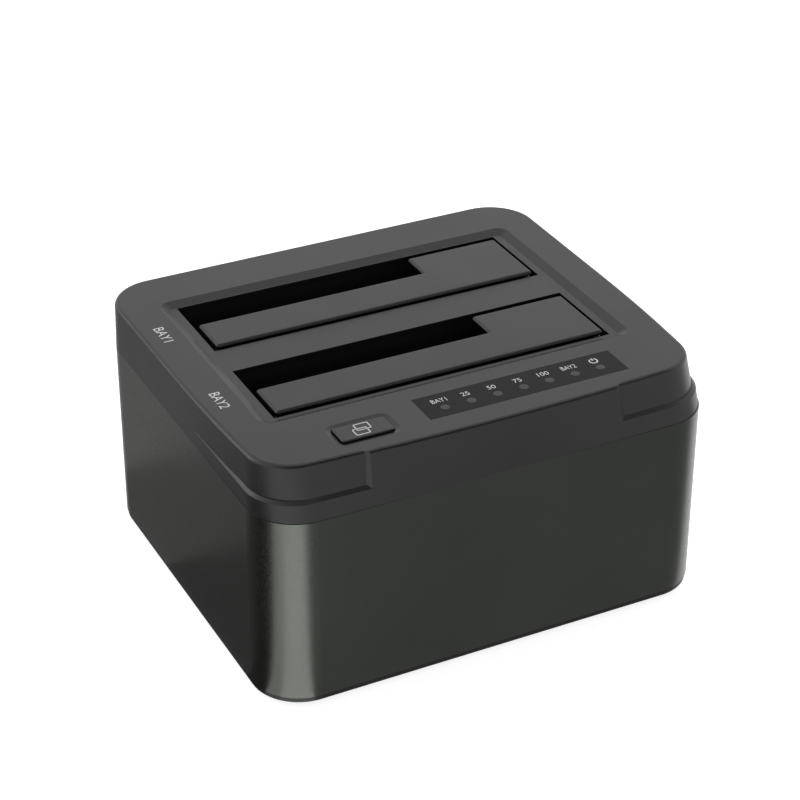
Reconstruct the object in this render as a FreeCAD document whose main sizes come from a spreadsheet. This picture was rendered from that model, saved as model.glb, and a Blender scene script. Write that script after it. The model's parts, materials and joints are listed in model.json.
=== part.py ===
"""Two-bay drive duplicator: a desktop dock that copies one bare drive to another.

An aluminium sleeve stands between a plastic top cover and a base plate. Each of the two bays
in the cover leads into a drive well, with a connector at its foot, and is closed by a sprung
L-shaped flap. The flap leaves the slot for a small drive open and folds down for a large one.

X runs to the right, Y to the back and Z up. The origin is the middle of the surface that the
feet stand on. All sizes are in millimetres.
"""
import FreeCAD, Part
import math
import os
import Sketcher
from FreeCAD import Placement, Rotation, Vector

doc = FreeCAD.newDocument("drive_duplicator")
sheet = doc.addObject("Spreadsheet::Sheet", "sizes")

# name, value, what it is
SIZES = [
    ("side_room", 16.6, "from a bay's side to the sleeve's side face"),
    ("port_room", 1.8, "from the rear well's back to the data port's inner end"),
    ("body_corner", 14.4, "outside radius of the upright corners"),
    ("foot_height", 1.5, "how far the feet stand out below the base"),
    ("rim_height", 1.9, "height of the base's rim below the sleeve"),
    ("sleeve_height", 56.0, "height of the aluminium sleeve"),
    ("sleeve_wall", 1.5, "wall of the sleeve"),
    ("cover_height", 14.2, "height of the top cover above the sleeve"),
    ("cover_skin", 2.2, "thickness of the cover under its top recess"),
    ("cover_wall", 2.4, "side wall of the cover's foot"),
    ("cover_step", 2.5, "height of that wall above the sleeve"),
    ("upper_wall", 4.8, "from the sleeve's faces to the cover's inside above that wall"),
    ("upper_shift", 1.68, "how far the cover's inside lies behind the middle"),
    ("edge_round", 1.2, "rounding of the cover's top edge"),
    ("shell_gap", 0.15, "clearance between the shells where one locates in another"),
    ("lip_height", 3.0, "height of the locating lips inside the sleeve"),
    ("lip_wall", 1.4, "thickness of the locating lips"),
    # the drafted band round the cover
    ("chin_setback", 3.8, "how far the chin leans back from foot to top"),
    ("crown_foot_setback", 1.0, "how far the crown's foot lies behind the sleeve's face"),
    ("crown_setback", 4.5, "how far the crown's top lies behind the sleeve's face"),
    ("crown_bow", 950.0, "radius of the crown's bowed front edge"),
    ("side_setback", 0.4, "how far the cover's sides lean in"),
    ("crown_foot_bow", 1500.0, "radius by which the crown's foot draws in at the sides"),
    ("side_bow", 560.0, "radius by which the crown's sides draw in to the front"),
    ("ring_bow", 2500.0, "radius by which the ring's sides draw in to the front"),
    ("bow_start", 62.0, "distance from the front where the sides start to draw in"),
    ("crown_corner", 13.0, "plan radius of the crown's front corners"),
    ("ring_height", 5.4, "height of the ring above the sleeve"),
    ("ring_slope", 0.8, "size of the sloping ledge on the ring"),
    ("ring_run", 46.0, "how far back the ring keeps its full height"),
    ("chin_width", 71.5, "width of the chin's face at the top"),
    ("chin_spread", 2.4, "how far each side of the chin spreads down to the ring"),
    ("chin_edge", 1.8, "width of the chin's sloping ends"),
    ("chin_relief", 1.3, "how far the chin's face stands out of the crown"),
    # the recess and the bays
    ("recess_side", 5.0, "from a bay's side to the recess's edge"),
    ("recess_ahead", 3.9, "from the front bay to the recess's front edge"),
    ("recess_behind", 2.9, "from the rear bay to the recess's rear edge"),
    ("recess_depth", 1.2, "how far the recess lies below the cover's top"),
    ("recess_slope", 2.6, "width of the recess's sloping sides"),
    ("recess_corner", 3.0, "plan radius of the recess's corners"),
    ("bay_width", 104.0, "bay opening, left to right"),
    ("bay_length", 28.1, "bay opening, front to back"),
    ("bay_pitch", 40.6, "spacing of the two bays"),
    ("bay_front", 32.5, "from the body's front to the front bay"),
    # the flaps
    ("flap_thick", 1.5, "thickness of a flap's plate"),
    ("flap_sink", 0.55, "how far a flap lies below the recess"),
    ("flap_gap", 0.6, "gap at a flap's front and left edges"),
    ("flap_end_gap", 2.0, "gap at a flap's right end"),
    ("flap_back_gap", 2.5, "gap between a flap's far edge and the bay's back edge"),
    ("slot_width", 73.3, "width of the small drive's slot"),
    ("slot_length", 12.8, "depth of the small drive's slot, front to back"),
    ("hinge_back", 1.5, "how far the hinge axis lies in front of the bay's front edge"),
    ("hinge_drop", 3.6, "how far the hinge axis lies below the recess"),
    ("knuckle_radius", 1.2, "outside radius of a flap's knuckle"),
    ("neck_front", 0.2, "how far a flap's neck bulges in front of its plate"),
    ("neck_hang", 0.6, "how far that bulge lies below the plate"),
    ("neck_cover", 0.8, "from the flap's upper face to the top of its neck"),
    ("neck_run", 2.0, "how far the neck's root runs back under the plate"),
    ("neck_foot", 0.4, "how far the foot of that root lies behind the plate's front edge"),
    ("neck_waist", 1.0, "how far the neck's narrowest place lies in front of the bay's edge"),
    ("pin_radius", 0.6, "radius of a flap's hinge pin"),
    ("pin_clearance", 0.05, "running clearance of a pin in its bore"),
    ("pin_end", 1.0, "how far a hinge pin stands out of the well"),
    ("spring_wire", 0.3, "wire of a flap's torsion spring"),
    ("spring_radius", 0.92, "mean radius of the spring's coil"),
    ("spring_turns", 3, "number of turns in the spring's coil"),
    ("spring_reach", 3.0, "how far the spring's leg reaches under the flap"),
    ("spring_touch", 0.05, "gap between the spring's leg and the flap"),
    # the wells
    ("well_wall", 1.6, "wall of a drive well"),
    ("well_floor", 2.0, "floor of a drive well"),
    ("well_relief", 0.5, "how far a well's front wall lies in front of the bay's edge"),
    ("well_foot", 15.0, "height of a well's underside above the table"),
    ("channel_reach", 3.0, "how far the hinge channel lies in front of the bay's edge"),
    ("channel_height", 5.2, "height of the hinge channel"),
    ("ear_length", 6.0, "length of a well's fixing ears"),
    ("ear_width", 7.0, "width of a well's fixing ears"),
    ("ear_thick", 2.0, "thickness of a well's fixing ears"),
    ("ear_drop", 4.2, "from the cover's underside to the top of the ears"),
    ("ear_boss_radius", 2.6, "radius of the cover's bosses for the ears"),
    # the base, feet and case screws
    ("base_thick", 2.5, "thickness of the base plate"),
    ("base_inset", 0.3, "how far the base's rim lies inside the sleeve's face"),
    ("base_round", 0.6, "rounding of the base's lower edge"),
    ("foot_radius", 6.5, "radius of a rubber foot"),
    ("foot_pocket", 0.6, "depth of a foot's pocket in the base"),
    ("post_side", 11.1, "from the sleeve's side faces to the case screws"),
    ("post_end", 11.3, "from the sleeve's front and back faces to the case screws"),
    ("post_radius", 3.2, "radius of the cover's long screw posts"),
    ("screw_boss_radius", 4.2, "radius of the base's screw bosses"),
    ("screw_boss_top", 8.0, "height of the base's screw bosses above the table"),
    ("case_screw_radius", 1.5, "radius of the case screws"),
    ("case_screw_head", 2.7, "radius of the case screws' heads"),
    ("case_screw_length", 14.0, "length of the case screws' shanks"),
    ("head_height", 1.6, "height of a screw head"),
    ("small_screw_radius", 1.0, "radius of the small screws"),
    ("small_screw_head", 1.9, "radius of the small screws' heads"),
    ("small_screw_length", 5.0, "length of the small screws' shanks"),
    ("screw_clearance", 0.2, "radial clearance round a screw"),
    # the main board and what it carries
    ("board_thick", 1.6, "thickness of a circuit board"),
    ("board_level", 9.5, "height of the main board's underside above the table"),
    ("board_side", 16.6, "from the sleeve's side faces to the main board"),
    ("board_front", 17.2, "from the sleeve's front face to the main board"),
    ("board_back", 3.4, "from the sleeve's back face to the main board"),
    ("board_corner", 1.5, "corner radius of the main board"),
    ("standoff_radius", 3.0, "radius of the base's board standoffs"),
    ("standoff_side", 5.0, "from the main board's sides to the standoffs"),
    ("standoff_front", 4.1, "from the main board's front edge to the front standoffs"),
    ("standoff_back", 4.9, "from the main board's back edge to the rear standoffs"),
    ("sata_width", 43.0, "width of a drive connector"),
    ("sata_length", 5.6, "depth of a drive connector front to back"),
    ("sata_height", 8.6, "height of a drive connector above the board"),
    ("sata_offset", 34.0, "from the bay's left wall to the connector's middle"),
    ("sata_inset", 4.6, "from the bay's back wall to the connector's middle"),
    ("sata_bar", 2.6, "bar between a connector's two slots"),
    ("sata_power", 21.4, "length of a connector's power slot"),
    ("sata_data", 10.6, "length of a connector's data slot"),
    ("sata_slot", 2.0, "width of a connector's slots"),
    ("sata_shift", 5.4, "how far the bar lies left of the connector's middle"),
    ("sata_floor", 2.0, "height of the slots' floors above the board"),
    ("sata_gap", 0.4, "clearance round a connector in a well's floor"),
    ("usb_width", 12.2, "width of the data port's shell"),
    ("usb_height", 11.2, "height of the data port's shell"),
    ("usb_length", 16.0, "depth of the data port's shell"),
    ("usb_wall", 0.4, "sheet thickness of the data port's shell"),
    ("usb_middle", -14.0, "where the data port's middle lies left to right"),
    ("tongue_width", 5.6, "width of the data port's tongue"),
    ("tongue_height", 3.2, "height of the data port's tongue"),
    ("tongue_sink", 2.5, "from the port's mouth in to the tongue's tip"),
    ("jack_width", 9.2, "width of the power jack"),
    ("jack_height", 11.0, "height of the power jack"),
    ("jack_length", 14.2, "depth of the power jack"),
    ("jack_bore", 3.15, "radius of the power jack's bore"),
    ("jack_bore_depth", 9.5, "depth of the power jack's bore"),
    ("jack_pin", 1.0, "radius of the power jack's centre pin"),
    ("jack_pin_sink", 0.8, "from the jack's mouth in to the pin's tip"),
    ("jack_rise", 0.6, "how far the bore lies above the jack's middle"),
    ("jack_middle", 12.0, "where the power jack's middle lies left to right"),
    ("port_gap", 0.3, "clearance round a port in the sleeve's back"),
    # the rear power switch
    ("switch_middle", -42.0, "where the power switch's middle lies left to right"),
    ("switch_level", 27.0, "height of the power switch's middle"),
    ("bezel_width", 15.0, "width of the power switch's bezel"),
    ("bezel_height", 10.5, "height of the power switch's bezel"),
    ("bezel_thick", 1.0, "thickness of the power switch's bezel"),
    ("switch_width", 13.0, "width of the power switch's body"),
    ("switch_height", 8.6, "height of the power switch's body"),
    ("switch_length", 9.0, "depth of the power switch's body behind the sleeve's face"),
    ("rocker_width", 10.4, "width of the rocker"),
    ("rocker_height", 6.6, "height of the rocker"),
    ("rocker_tilt", 9.0, "tilt of the rocker to each side"),
    ("rocker_sink", 2.5, "from the sleeve's face in to the rocker's pivot"),
    ("rocker_pivot", 1.2, "radius of the rocker's pivot stubs"),
    ("rocker_rise", 2.6, "from the rocker's pivot out to its ridge"),
    ("rocker_keel", 2.4, "from the rocker's pivot in to its keel"),
    ("rocker_keel_width", 5.2, "width of the rocker's keel"),
    ("stub_gap", 0.2, "from the switch's body to the ends of the pivot stubs"),
    ("switch_room_wall", 0.6, "side wall of the switch's body round the rocker"),
    ("switch_room_floor", 3.5, "solid depth behind the rocker"),
    ("rocker_gap", 0.1, "clearance above and below the rocker"),
    ("bezel_corner", 1.0, "corner radius of the bezel"),
    ("terminal_width", 4.8, "width of a switch terminal"),
    ("terminal_length", 6.0, "length of a switch terminal"),
    ("terminal_thick", 0.8, "thickness of a switch terminal"),
    ("terminal_pitch", 5.0, "spacing of the switch terminals"),
    # what stands on the main board
    ("bridge_side", 9.0, "side of a bridge chip"),
    ("bridge_height", 1.1, "height of a bridge chip"),
    ("bridge_x", 22.0, "where the bridge chips' middles lie left to right"),
    ("controller_side", 12.0, "side of the copy controller"),
    ("controller_height", 1.3, "height of the copy controller"),
    ("controller_x", -18.0, "where the copy controller's middle lies left to right"),
    ("controller_y", 12.18, "from the front bay's edge to the copy controller's middle"),
    ("strip_room", 9.5, "from the front bay's edge to the row of power parts"),
    ("capacitor_radius", 3.15, "radius of a filter capacitor"),
    ("capacitor_height", 11.0, "height of a filter capacitor"),
    ("capacitor_round", 0.7, "rounding of a capacitor's top"),
    ("capacitor_pitch", 10.0, "spacing of the filter capacitors"),
    ("capacitor_side", 12.0, "from the main board's left edge to the first capacitor"),
    ("coil_width", 7.0, "width of a power coil"),
    ("coil_length", 6.6, "depth of a power coil, front to back"),
    ("coil_height", 4.0, "height of a power coil"),
    ("coil_pitch", 12.0, "spacing of the power coils"),
    ("crystal_width", 10.6, "width of the clock crystal's can"),
    ("crystal_length", 4.4, "depth of the clock crystal's can, front to back"),
    ("crystal_height", 3.4, "height of the clock crystal's can"),
    ("crystal_x", 22.0, "where the clock crystal's middle lies left to right"),
    # the control panel in the cover
    ("button_width", 15.3, "width of the copy button's cap"),
    ("button_length", 7.3, "depth of the copy button's cap, front to back"),
    ("button_corner", 0.8, "corner radius of the copy button's cap"),
    ("button_x", -34.1, "where the copy button's middle lies left to right"),
    ("button_y", 15.2, "from the body's front to the copy button's middle"),
    ("button_gap", 0.35, "gap round the copy button's cap"),
    ("button_recess", 0.5, "depth of the soft recess round the copy button"),
    ("button_border", 1.9, "width of that recess"),
    ("button_rise", 0.2, "how far the copy button stands above the cover"),
    ("dish_corner", 2.4, "plan radius of that recess's corners"),
    ("button_flange", 1.0, "width of the flange that holds the button in"),
    ("button_soft", 0.35, "rounding of the copy button's top edge"),
    ("button_stem", 1.5, "radius of the copy button's stem"),
    ("window_width", 61.4, "width of the status window"),
    ("window_length", 11.5, "depth of the status window, front to back"),
    ("window_gap", 0.1, "gap round the window's pane"),
    ("window_x", 14.7, "where the status window's middle lies left to right"),
    ("window_y", 17.2, "from the body's front to the status window's middle"),
    ("window_thick", 1.6, "thickness of the status window's flange"),
    ("window_border", 1.5, "width of the flange that carries the window"),
    ("light_pitch", 8.05, "spacing of the status lights"),
    ("light_y", 15.7, "from the body's front to the row of status lights"),
    ("light_radius", 0.9, "radius of a light guide's stem"),
    ("light_gap", 0.2, "gap between a status light and its guide"),
    ("guide_rail", 1.4, "thickness of the rail that joins the light guides"),
    ("guide_level", 3.4, "height of that rail above the control board"),
    ("panel_level", 60.0, "height of the control board's underside above the table"),
    ("panel_gap", 1.3, "gap between the control board and the cover's posts"),
    ("panel_length", 14.0, "depth of the control board"),
    ("panel_y", 16.6, "from the body's front to the control board's middle"),
    ("panel_boss_radius", 2.4, "radius of the control board's bosses"),
    ("panel_inset", 3.0, "from the control board's ends to its screws"),
    ("switch_side", 6.0, "side of the copy switch's body"),
    ("switch_body", 3.4, "height of the copy switch's body"),
    ("plunger_radius", 1.6, "radius of the copy switch's plunger"),
    ("plunger_rise", 1.0, "how far the plunger stands out of the copy switch"),
    ("plunger_hold", 0.8, "how deep the plunger reaches into the copy switch"),
    ("plunger_room", 1.6, "depth of the plunger's bore"),
    ("led_side", 2.0, "side of a status light's package"),
    ("led_height", 0.9, "height of a status light's package"),
    ("foot_bow", 6000.0, "radius of the cover's nearly straight lower edges"),
    # places worked out from the sizes above
    ("body_width", "=bay_width + 2 * side_room", "outside width of the sleeve"),
    ("body_depth", "=bay_front + bay_pitch + well_wall + usb_length + port_room + bay_length",
     "outside depth of the sleeve"),
    ("recess_width", "=bay_width + 2 * recess_side", "width of the recess in the cover's top"),
    ("recess_length", "=bay_pitch + bay_length + recess_ahead + recess_behind",
     "depth front to back of the recess"),
    ("flap_strip", "=bay_length - slot_length", "from the bay's front edge to the small slot"),
    ("flap_reach", "=bay_length - flap_back_gap", "from the bay's front edge to the flap's far edge"),
    ("post_x", "=body_width / 2 - post_side", "half the spacing of the case screws, left to right"),
    ("post_y", "=body_depth / 2 - post_end", "half the spacing of the case screws, front to back"),
    ("board_width", "=body_width - 2 * board_side", "width of the main board"),
    ("board_length", "=body_depth - board_front - board_back", "depth of the main board"),
    ("panel_width", "=2 * (post_x - post_radius - panel_gap)", "width of the control board"),
    ("sleeve_foot", "=foot_height + rim_height", "height of the sleeve's lower edge"),
    ("seam_level", "=sleeve_foot + sleeve_height", "height of the cover's lower edge"),
    ("top_level", "=seam_level + cover_height", "height of the cover's top"),
    ("deck_level", "=top_level - recess_depth", "height of the recess's floor"),
    ("under_level", "=deck_level - cover_skin", "height of the cover's underside"),
    ("front_face", "=-body_depth / 2", "where the sleeve's front face lies"),
    ("back_face", "=body_depth / 2", "where the sleeve's back face lies"),
    ("board_middle", "=(board_front - board_back) / 2", "how far the main board lies to the back"),
    ("front_bay_edge", "=front_face + bay_front", "where the front bay's front edge lies"),
    ("rear_bay_edge", "=front_bay_edge + bay_pitch", "where the rear bay's front edge lies"),
    ("hinge_level", "=deck_level - hinge_drop", "height of the flaps' hinge axes"),
    ("floor_level", "=well_foot + well_floor", "height of the wells' floors"),
    ("board_top", "=board_level + board_thick", "height of the main board's upper face"),
    ("panel_top", "=panel_level + board_thick", "height of the control board's upper face"),
    ("inner_width", "=body_width - 2 * sleeve_wall", "inside width of the sleeve"),
    ("inner_depth", "=body_depth - 2 * sleeve_wall", "inside depth of the sleeve"),
    ("inner_corner", "=body_corner - sleeve_wall", "inside radius of the sleeve's corners"),
]


def fill_sheet():
    """Write every size into the sheet with its alias and meaning."""
    for row, (name, value, meaning) in enumerate(SIZES, start=1):
        sheet.set(f"A{row}", name)
        sheet.set(f"B{row}", str(value))
        sheet.set(f"C{row}", meaning)
        sheet.setAlias(f"B{row}", name)
    doc.recompute()


fill_sheet()
ALIASES = [name for name, _, _ in SIZES]


def size(name):
    """The value of one cell, for the few shapes that are worked out here."""
    return float(getattr(sheet, name))


def linked(text):
    """A formula in size names, with each name pointed at the sheet."""
    words = []
    word = ""
    for letter in str(text) + " ":
        if letter.isalnum() or letter == "_":
            word += letter
            continue
        words.append("sizes." + word if word in ALIASES else word)
        words.append(letter)
        word = ""
    return "".join(words).strip()


def bind(thing, **formulas):
    """Bind properties to formulas; X__Y stands for the property path X.Y."""
    for path, formula in formulas.items():
        thing.setExpression(path.replace("__", "."), linked(formula))
    return thing


def move(thing, x=0, y=0, z=0):
    """Bind a thing's place to three formulas."""
    return bind(thing, Placement__Base__x=x, Placement__Base__y=y, Placement__Base__z=z)


# ---------------------------------------------------------------- primitives and booleans

def box(name, wide, deep, high, x=0, y=0, z=0):
    """A box centred at x and y, standing on z."""
    made = bind(doc.addObject("Part::Box", name), Length=wide, Width=deep, Height=high)
    return move(made, f"({x}) - ({wide}) / 2", f"({y}) - ({deep}) / 2", z)


def rod(name, radius, length, x=0, y=0, z=0, along="z"):
    """A cylinder that starts at a point and runs along one axis."""
    made = bind(doc.addObject("Part::Cylinder", name), Radius=radius, Height=length)
    turns = {"z": Rotation(), "x": Rotation(Vector(0, 1, 0), 90), "y": Rotation(Vector(1, 0, 0), -90)}
    made.Placement = Placement(Vector(), turns[along])
    return move(made, x, y, z)


def cut(name, base, *tools):
    """Take one or more tools away from a base."""
    made = doc.addObject("Part::Cut", name)
    made.Base = base
    made.Tool = tools[0] if len(tools) == 1 else join(name + "_tools", *tools)
    return made


def join(name, *shapes):
    """Fuse shapes into one piece."""
    made = doc.addObject("Part::MultiFuse", name)
    made.Shapes = list(shapes)
    made.Refine = True
    return made


def overlap(name, first, second):
    """What two shapes share."""
    made = doc.addObject("Part::Common", name)
    made.Base = first
    made.Tool = second
    return made


def group(name, *shapes):
    """Separate solids kept as one node."""
    made = doc.addObject("Part::Compound", name)
    made.Links = list(shapes)
    return made


def rounded(name, base, radius, chosen):
    """Round the edges of a shape that pass a test."""
    doc.recompute()
    made = doc.addObject("Part::Fillet", name)
    made.Base = base
    edges = enumerate(base.Shape.Edges, start=1)
    made.Edges = [(number, size(radius), size(radius)) for number, edge in edges if chosen(edge)]
    return made


def level_at(edge, height):
    """True for an edge that lies flat at one height."""
    box_ = edge.BoundBox
    return abs(box_.ZMin - height) < 0.01 and abs(box_.ZMax - height) < 0.01


# ---------------------------------------------------------------- bodies and sketches

def new_body(name):
    return doc.addObject("PartDesign::Body", name)


def new_sketch(body, name, plane="XY_Plane", level="0"):
    """A sketch on one of its body's own planes, lifted by a formula."""
    sketch = body.newObject("Sketcher::SketchObject", name)
    planes = [part for part in body.Origin.OriginFeatures if part.Role == plane]
    sketch.AttachmentSupport = (planes[0], "")
    sketch.MapMode = "FlatFace"
    return bind(sketch, AttachmentOffset__Base__z=level)


def tie(sketch, kind, *places, formula):
    """Add one dimension to a sketch and bind it to a formula."""
    start = sketch.evalExpression(linked(formula))
    index = sketch.addConstraint(Sketcher.Constraint(kind, *places, float(start)))
    sketch.setExpression(f"Constraints[{index}]", linked(formula))


def outline(sketch, wide, deep, x="0", y="0", corner=None):
    """A rectangle about a middle point, with round corners if a radius is given."""
    values = [float(sketch.evalExpression(linked(text))) for text in (wide, deep, x, y, corner or "0")]
    w, d, cx, cy, r = values
    left, right, front, back = cx - w / 2, cx + w / 2, cy - d / 2, cy + d / 2
    first = sketch.GeometryCount
    sides = [((left + r, front), (right - r, front)), ((right, front + r), (right, back - r)),
             ((right - r, back), (left + r, back)), ((left, back - r), (left, front + r))]
    for start, end in sides:
        sketch.addGeometry(Part.LineSegment(Vector(*start, 0), Vector(*end, 0)))
    for index, kind in enumerate(("Horizontal", "Vertical", "Horizontal", "Vertical")):
        sketch.addConstraint(Sketcher.Constraint(kind, first + index))
    if corner:
        corners = [(right - r, front + r, -90), (right - r, back - r, 0),
                   (left + r, back - r, 90), (left + r, front + r, 180)]
        for px, py, turn in corners:
            circle = Part.Circle(Vector(px, py, 0), Vector(0, 0, 1), r)
            arc = Part.ArcOfCircle(circle, math.radians(turn), math.radians(turn + 90))
            sketch.addGeometry(arc)
        for index in range(4):
            arc = first + 4 + index
            after = first + (index + 1) % 4
            sketch.addConstraint(Sketcher.Constraint("Tangent", first + index, 2, arc, 1))
            sketch.addConstraint(Sketcher.Constraint("Tangent", arc, 2, after, 1))
        for index in range(3):
            sketch.addConstraint(Sketcher.Constraint("Equal", first + 4, first + 5 + index))
        tie(sketch, "Radius", first + 4, formula=corner)
    else:
        for index in range(4):
            after = first + (index + 1) % 4
            sketch.addConstraint(Sketcher.Constraint("Coincident", first + index, 2, after, 1))
    tie(sketch, "DistanceX", -1, 1, first + 3, 1, formula=f"({x}) - ({wide}) / 2")
    tie(sketch, "DistanceX", -1, 1, first + 1, 1, formula=f"({x}) + ({wide}) / 2")
    tie(sketch, "DistanceY", -1, 1, first, 1, formula=f"({y}) - ({deep}) / 2")
    tie(sketch, "DistanceY", -1, 1, first + 2, 1, formula=f"({y}) + ({deep}) / 2")


def disc(sketch, radius, x="0", y="0"):
    """A circle placed by formulas."""
    values = [float(sketch.evalExpression(linked(text))) for text in (x, y, radius)]
    middle = Vector(values[0], values[1], 0)
    index = sketch.addGeometry(Part.Circle(middle, Vector(0, 0, 1), values[2]))
    tie(sketch, "Radius", index, formula=radius)
    tie(sketch, "DistanceX", -1, 1, index, 3, formula=x)
    tie(sketch, "DistanceY", -1, 1, index, 3, formula=y)


def polygon(sketch, corners):
    """A closed outline through corners that are pairs of formulas."""
    points = []
    for pair in corners:
        values = [float(sketch.evalExpression(linked(text))) for text in pair]
        points.append(Vector(values[0], values[1], 0))
    first = sketch.GeometryCount
    count = len(points)
    for index in range(count):
        sketch.addGeometry(Part.LineSegment(points[index], points[(index + 1) % count]))
    for index in range(count):
        after = first + (index + 1) % count
        sketch.addConstraint(Sketcher.Constraint("Coincident", first + index, 2, after, 1))
    for index, (x, y) in enumerate(corners):
        tie(sketch, "DistanceX", -1, 1, first + index, 1, formula=x)
        tie(sketch, "DistanceY", -1, 1, first + index, 1, formula=y)


def pad(body, sketch, length, middle=False, reverse=False):
    """Raise a sketch by a length."""
    made = body.newObject("PartDesign::Pad", sketch.Name + "_pad")
    made.Profile = sketch
    made.Midplane = middle
    made.Reversed = reverse
    return bind(made, Length=length)


def pocket(body, sketch, length, upwards=False, middle=False):
    """Sink a sketch into the body, downwards unless told otherwise."""
    doc.recompute()
    before = body.Shape.Volume
    made = body.newObject("PartDesign::Pocket", sketch.Name + "_pocket")
    made.Profile = sketch
    made.Midplane = middle
    made.Reversed = upwards
    bind(made, Length=length)
    doc.recompute()
    if not body.Shape.Volume < before - 1e-6:
        raise RuntimeError(made.Name + " cuts nothing")
    return made


def soften(body, name, radius, chosen):
    """Round the edges of a body that pass a test."""
    doc.recompute()
    tip = body.Tip
    edges = enumerate(tip.Shape.Edges, start=1)
    names = [f"Edge{number}" for number, edge in edges if chosen(edge)]
    made = body.newObject("PartDesign::Fillet", name)
    made.Base = (tip, names)
    return bind(made, Radius=radius)


def padded_box(body, name, wide, deep, low, high, x="0", y="0", corner=None):
    """Add a block between two heights."""
    sketch = new_sketch(body, name, level=low)
    outline(sketch, wide, deep, x, y, corner)
    return pad(body, sketch, f"({high}) - ({low})")


def sunk_box(body, name, wide, deep, low, high, x="0", y="0", corner=None):
    """Cut a block out between two heights."""
    sketch = new_sketch(body, name, level=high)
    outline(sketch, wide, deep, x, y, corner)
    return pocket(body, sketch, f"({high}) - ({low})")


def padded_rods(body, name, radius, low, high, places):
    """Add upright posts between two heights."""
    sketch = new_sketch(body, name, level=low)
    for x, y in places:
        disc(sketch, radius, x, y)
    return pad(body, sketch, f"({high}) - ({low})")


def sunk_rods(body, name, radius, low, high, places):
    """Cut upright holes between two heights."""
    sketch = new_sketch(body, name, level=high)
    for x, y in places:
        disc(sketch, radius, x, y)
    return pocket(body, sketch, f"({high}) - ({low})")


POSTS = [(f"{side} * post_x", f"{end} * post_y") for side in (-1, 1) for end in (-1, 1)]
STANDOFFS = [(f"{side} * (board_width / 2 - standoff_side)", place) for side in (-1, 1)
             for place in ("front_face + board_front + standoff_front",
                           "back_face - board_back - standoff_back")]
BAYS = [("front", "front_bay_edge"), ("rear", "rear_bay_edge")]
EAR_X = "bay_width / 2 + well_wall + ear_length / 2"
EARS = [(f"{side} * ({EAR_X})", f"{edge} + bay_length / 2") for side in (-1, 1) for _, edge in BAYS]
PANEL_SCREWS = [(f"{side} * (panel_width / 2 - panel_inset)", "front_face + panel_y")
                for side in (-1, 1)]


# ---------------------------------------------------------------- sleeve and base

def make_sleeve():
    """The aluminium tube, with the ports' cut-outs in its back."""
    body = new_body("sleeve")
    outer = new_sketch(body, "sleeve_outline", level="sleeve_foot")
    outline(outer, "body_width", "body_depth", corner="body_corner")
    outline(outer, "inner_width", "inner_depth", corner="inner_corner")
    pad(body, outer, "sleeve_height")
    ports = new_sketch(body, "sleeve_ports", "XZ_Plane", "-back_face - 1")
    outline(ports, "usb_width + 2 * port_gap", "usb_height + 2 * port_gap",
            "usb_middle", "board_top + usb_height / 2", corner="port_gap + usb_wall")
    outline(ports, "jack_width + 2 * port_gap", "jack_height + 2 * port_gap",
            "jack_middle", "board_top + jack_height / 2", corner="port_gap")
    outline(ports, "switch_width + 2 * port_gap", "switch_height + 2 * port_gap",
            "switch_middle", "switch_level", corner="port_gap")
    pocket(body, ports, "2 * sleeve_wall + 2", upwards=True, middle=True)
    return body


def make_base():
    """The base plate with its lip, screw bosses, board standoffs and foot pockets."""
    body = new_body("base_plate")
    inset = "2 * base_inset"
    padded_box(body, "base_rim", f"body_width - {inset}", f"body_depth - {inset}",
               "foot_height", "sleeve_foot", corner="body_corner - base_inset")
    inside = "2 * shell_gap"
    padded_box(body, "base_floor", f"inner_width - {inside}", f"inner_depth - {inside}",
               "sleeve_foot", "sleeve_foot + lip_height", corner="inner_corner - shell_gap")
    within = "2 * (shell_gap + lip_wall)"
    sunk_box(body, "base_well", f"inner_width - {within}", f"inner_depth - {within}",
             "foot_height + base_thick", "sleeve_foot + lip_height",
             corner="inner_corner - shell_gap - lip_wall")
    start = "foot_height + base_thick - 0.1"
    padded_rods(body, "base_screw_bosses", "screw_boss_radius", start, "screw_boss_top", POSTS)
    padded_rods(body, "base_standoffs", "standoff_radius", start, "board_level", STANDOFFS)
    pilots = "small_screw_radius - 0.1"
    sunk_rods(body, "base_pilots", pilots, "foot_height + base_thick", "board_level", STANDOFFS)
    sunk_rods(body, "base_foot_pockets", "foot_radius + 0.1", "foot_height - 1",
              "foot_height + foot_pocket", POSTS)
    sunk_rods(body, "base_head_pockets", "case_screw_head + screw_clearance", "foot_height - 1",
              "foot_height + foot_pocket + head_height + 0.3", POSTS)
    sunk_rods(body, "base_screw_holes", "case_screw_radius + screw_clearance", "foot_height",
              "screw_boss_top", POSTS)
    reach = size("post_x") + size("foot_radius") + 0.5

    def on_rim(edge):
        bounds = edge.BoundBox
        widest = max(abs(bounds.XMin), abs(bounds.XMax), abs(bounds.YMin), abs(bounds.YMax))
        return level_at(edge, size("foot_height")) and widest > reach

    soften(body, "base_edge", "base_round", on_rim)
    return body


def make_feet():
    """Four round rubber pads in the base's pockets, over the case screws."""
    pads = []
    for number, (x, y) in enumerate(POSTS, start=1):
        disc_ = rod(f"foot_{number}", "foot_radius", "foot_height + foot_pocket", x, y)
        pads.append(rounded(f"foot_{number}_rounded", disc_, "shell_gap", lambda e: level_at(e, 0.0)))
    return group("rubber_feet", *pads)


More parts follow.
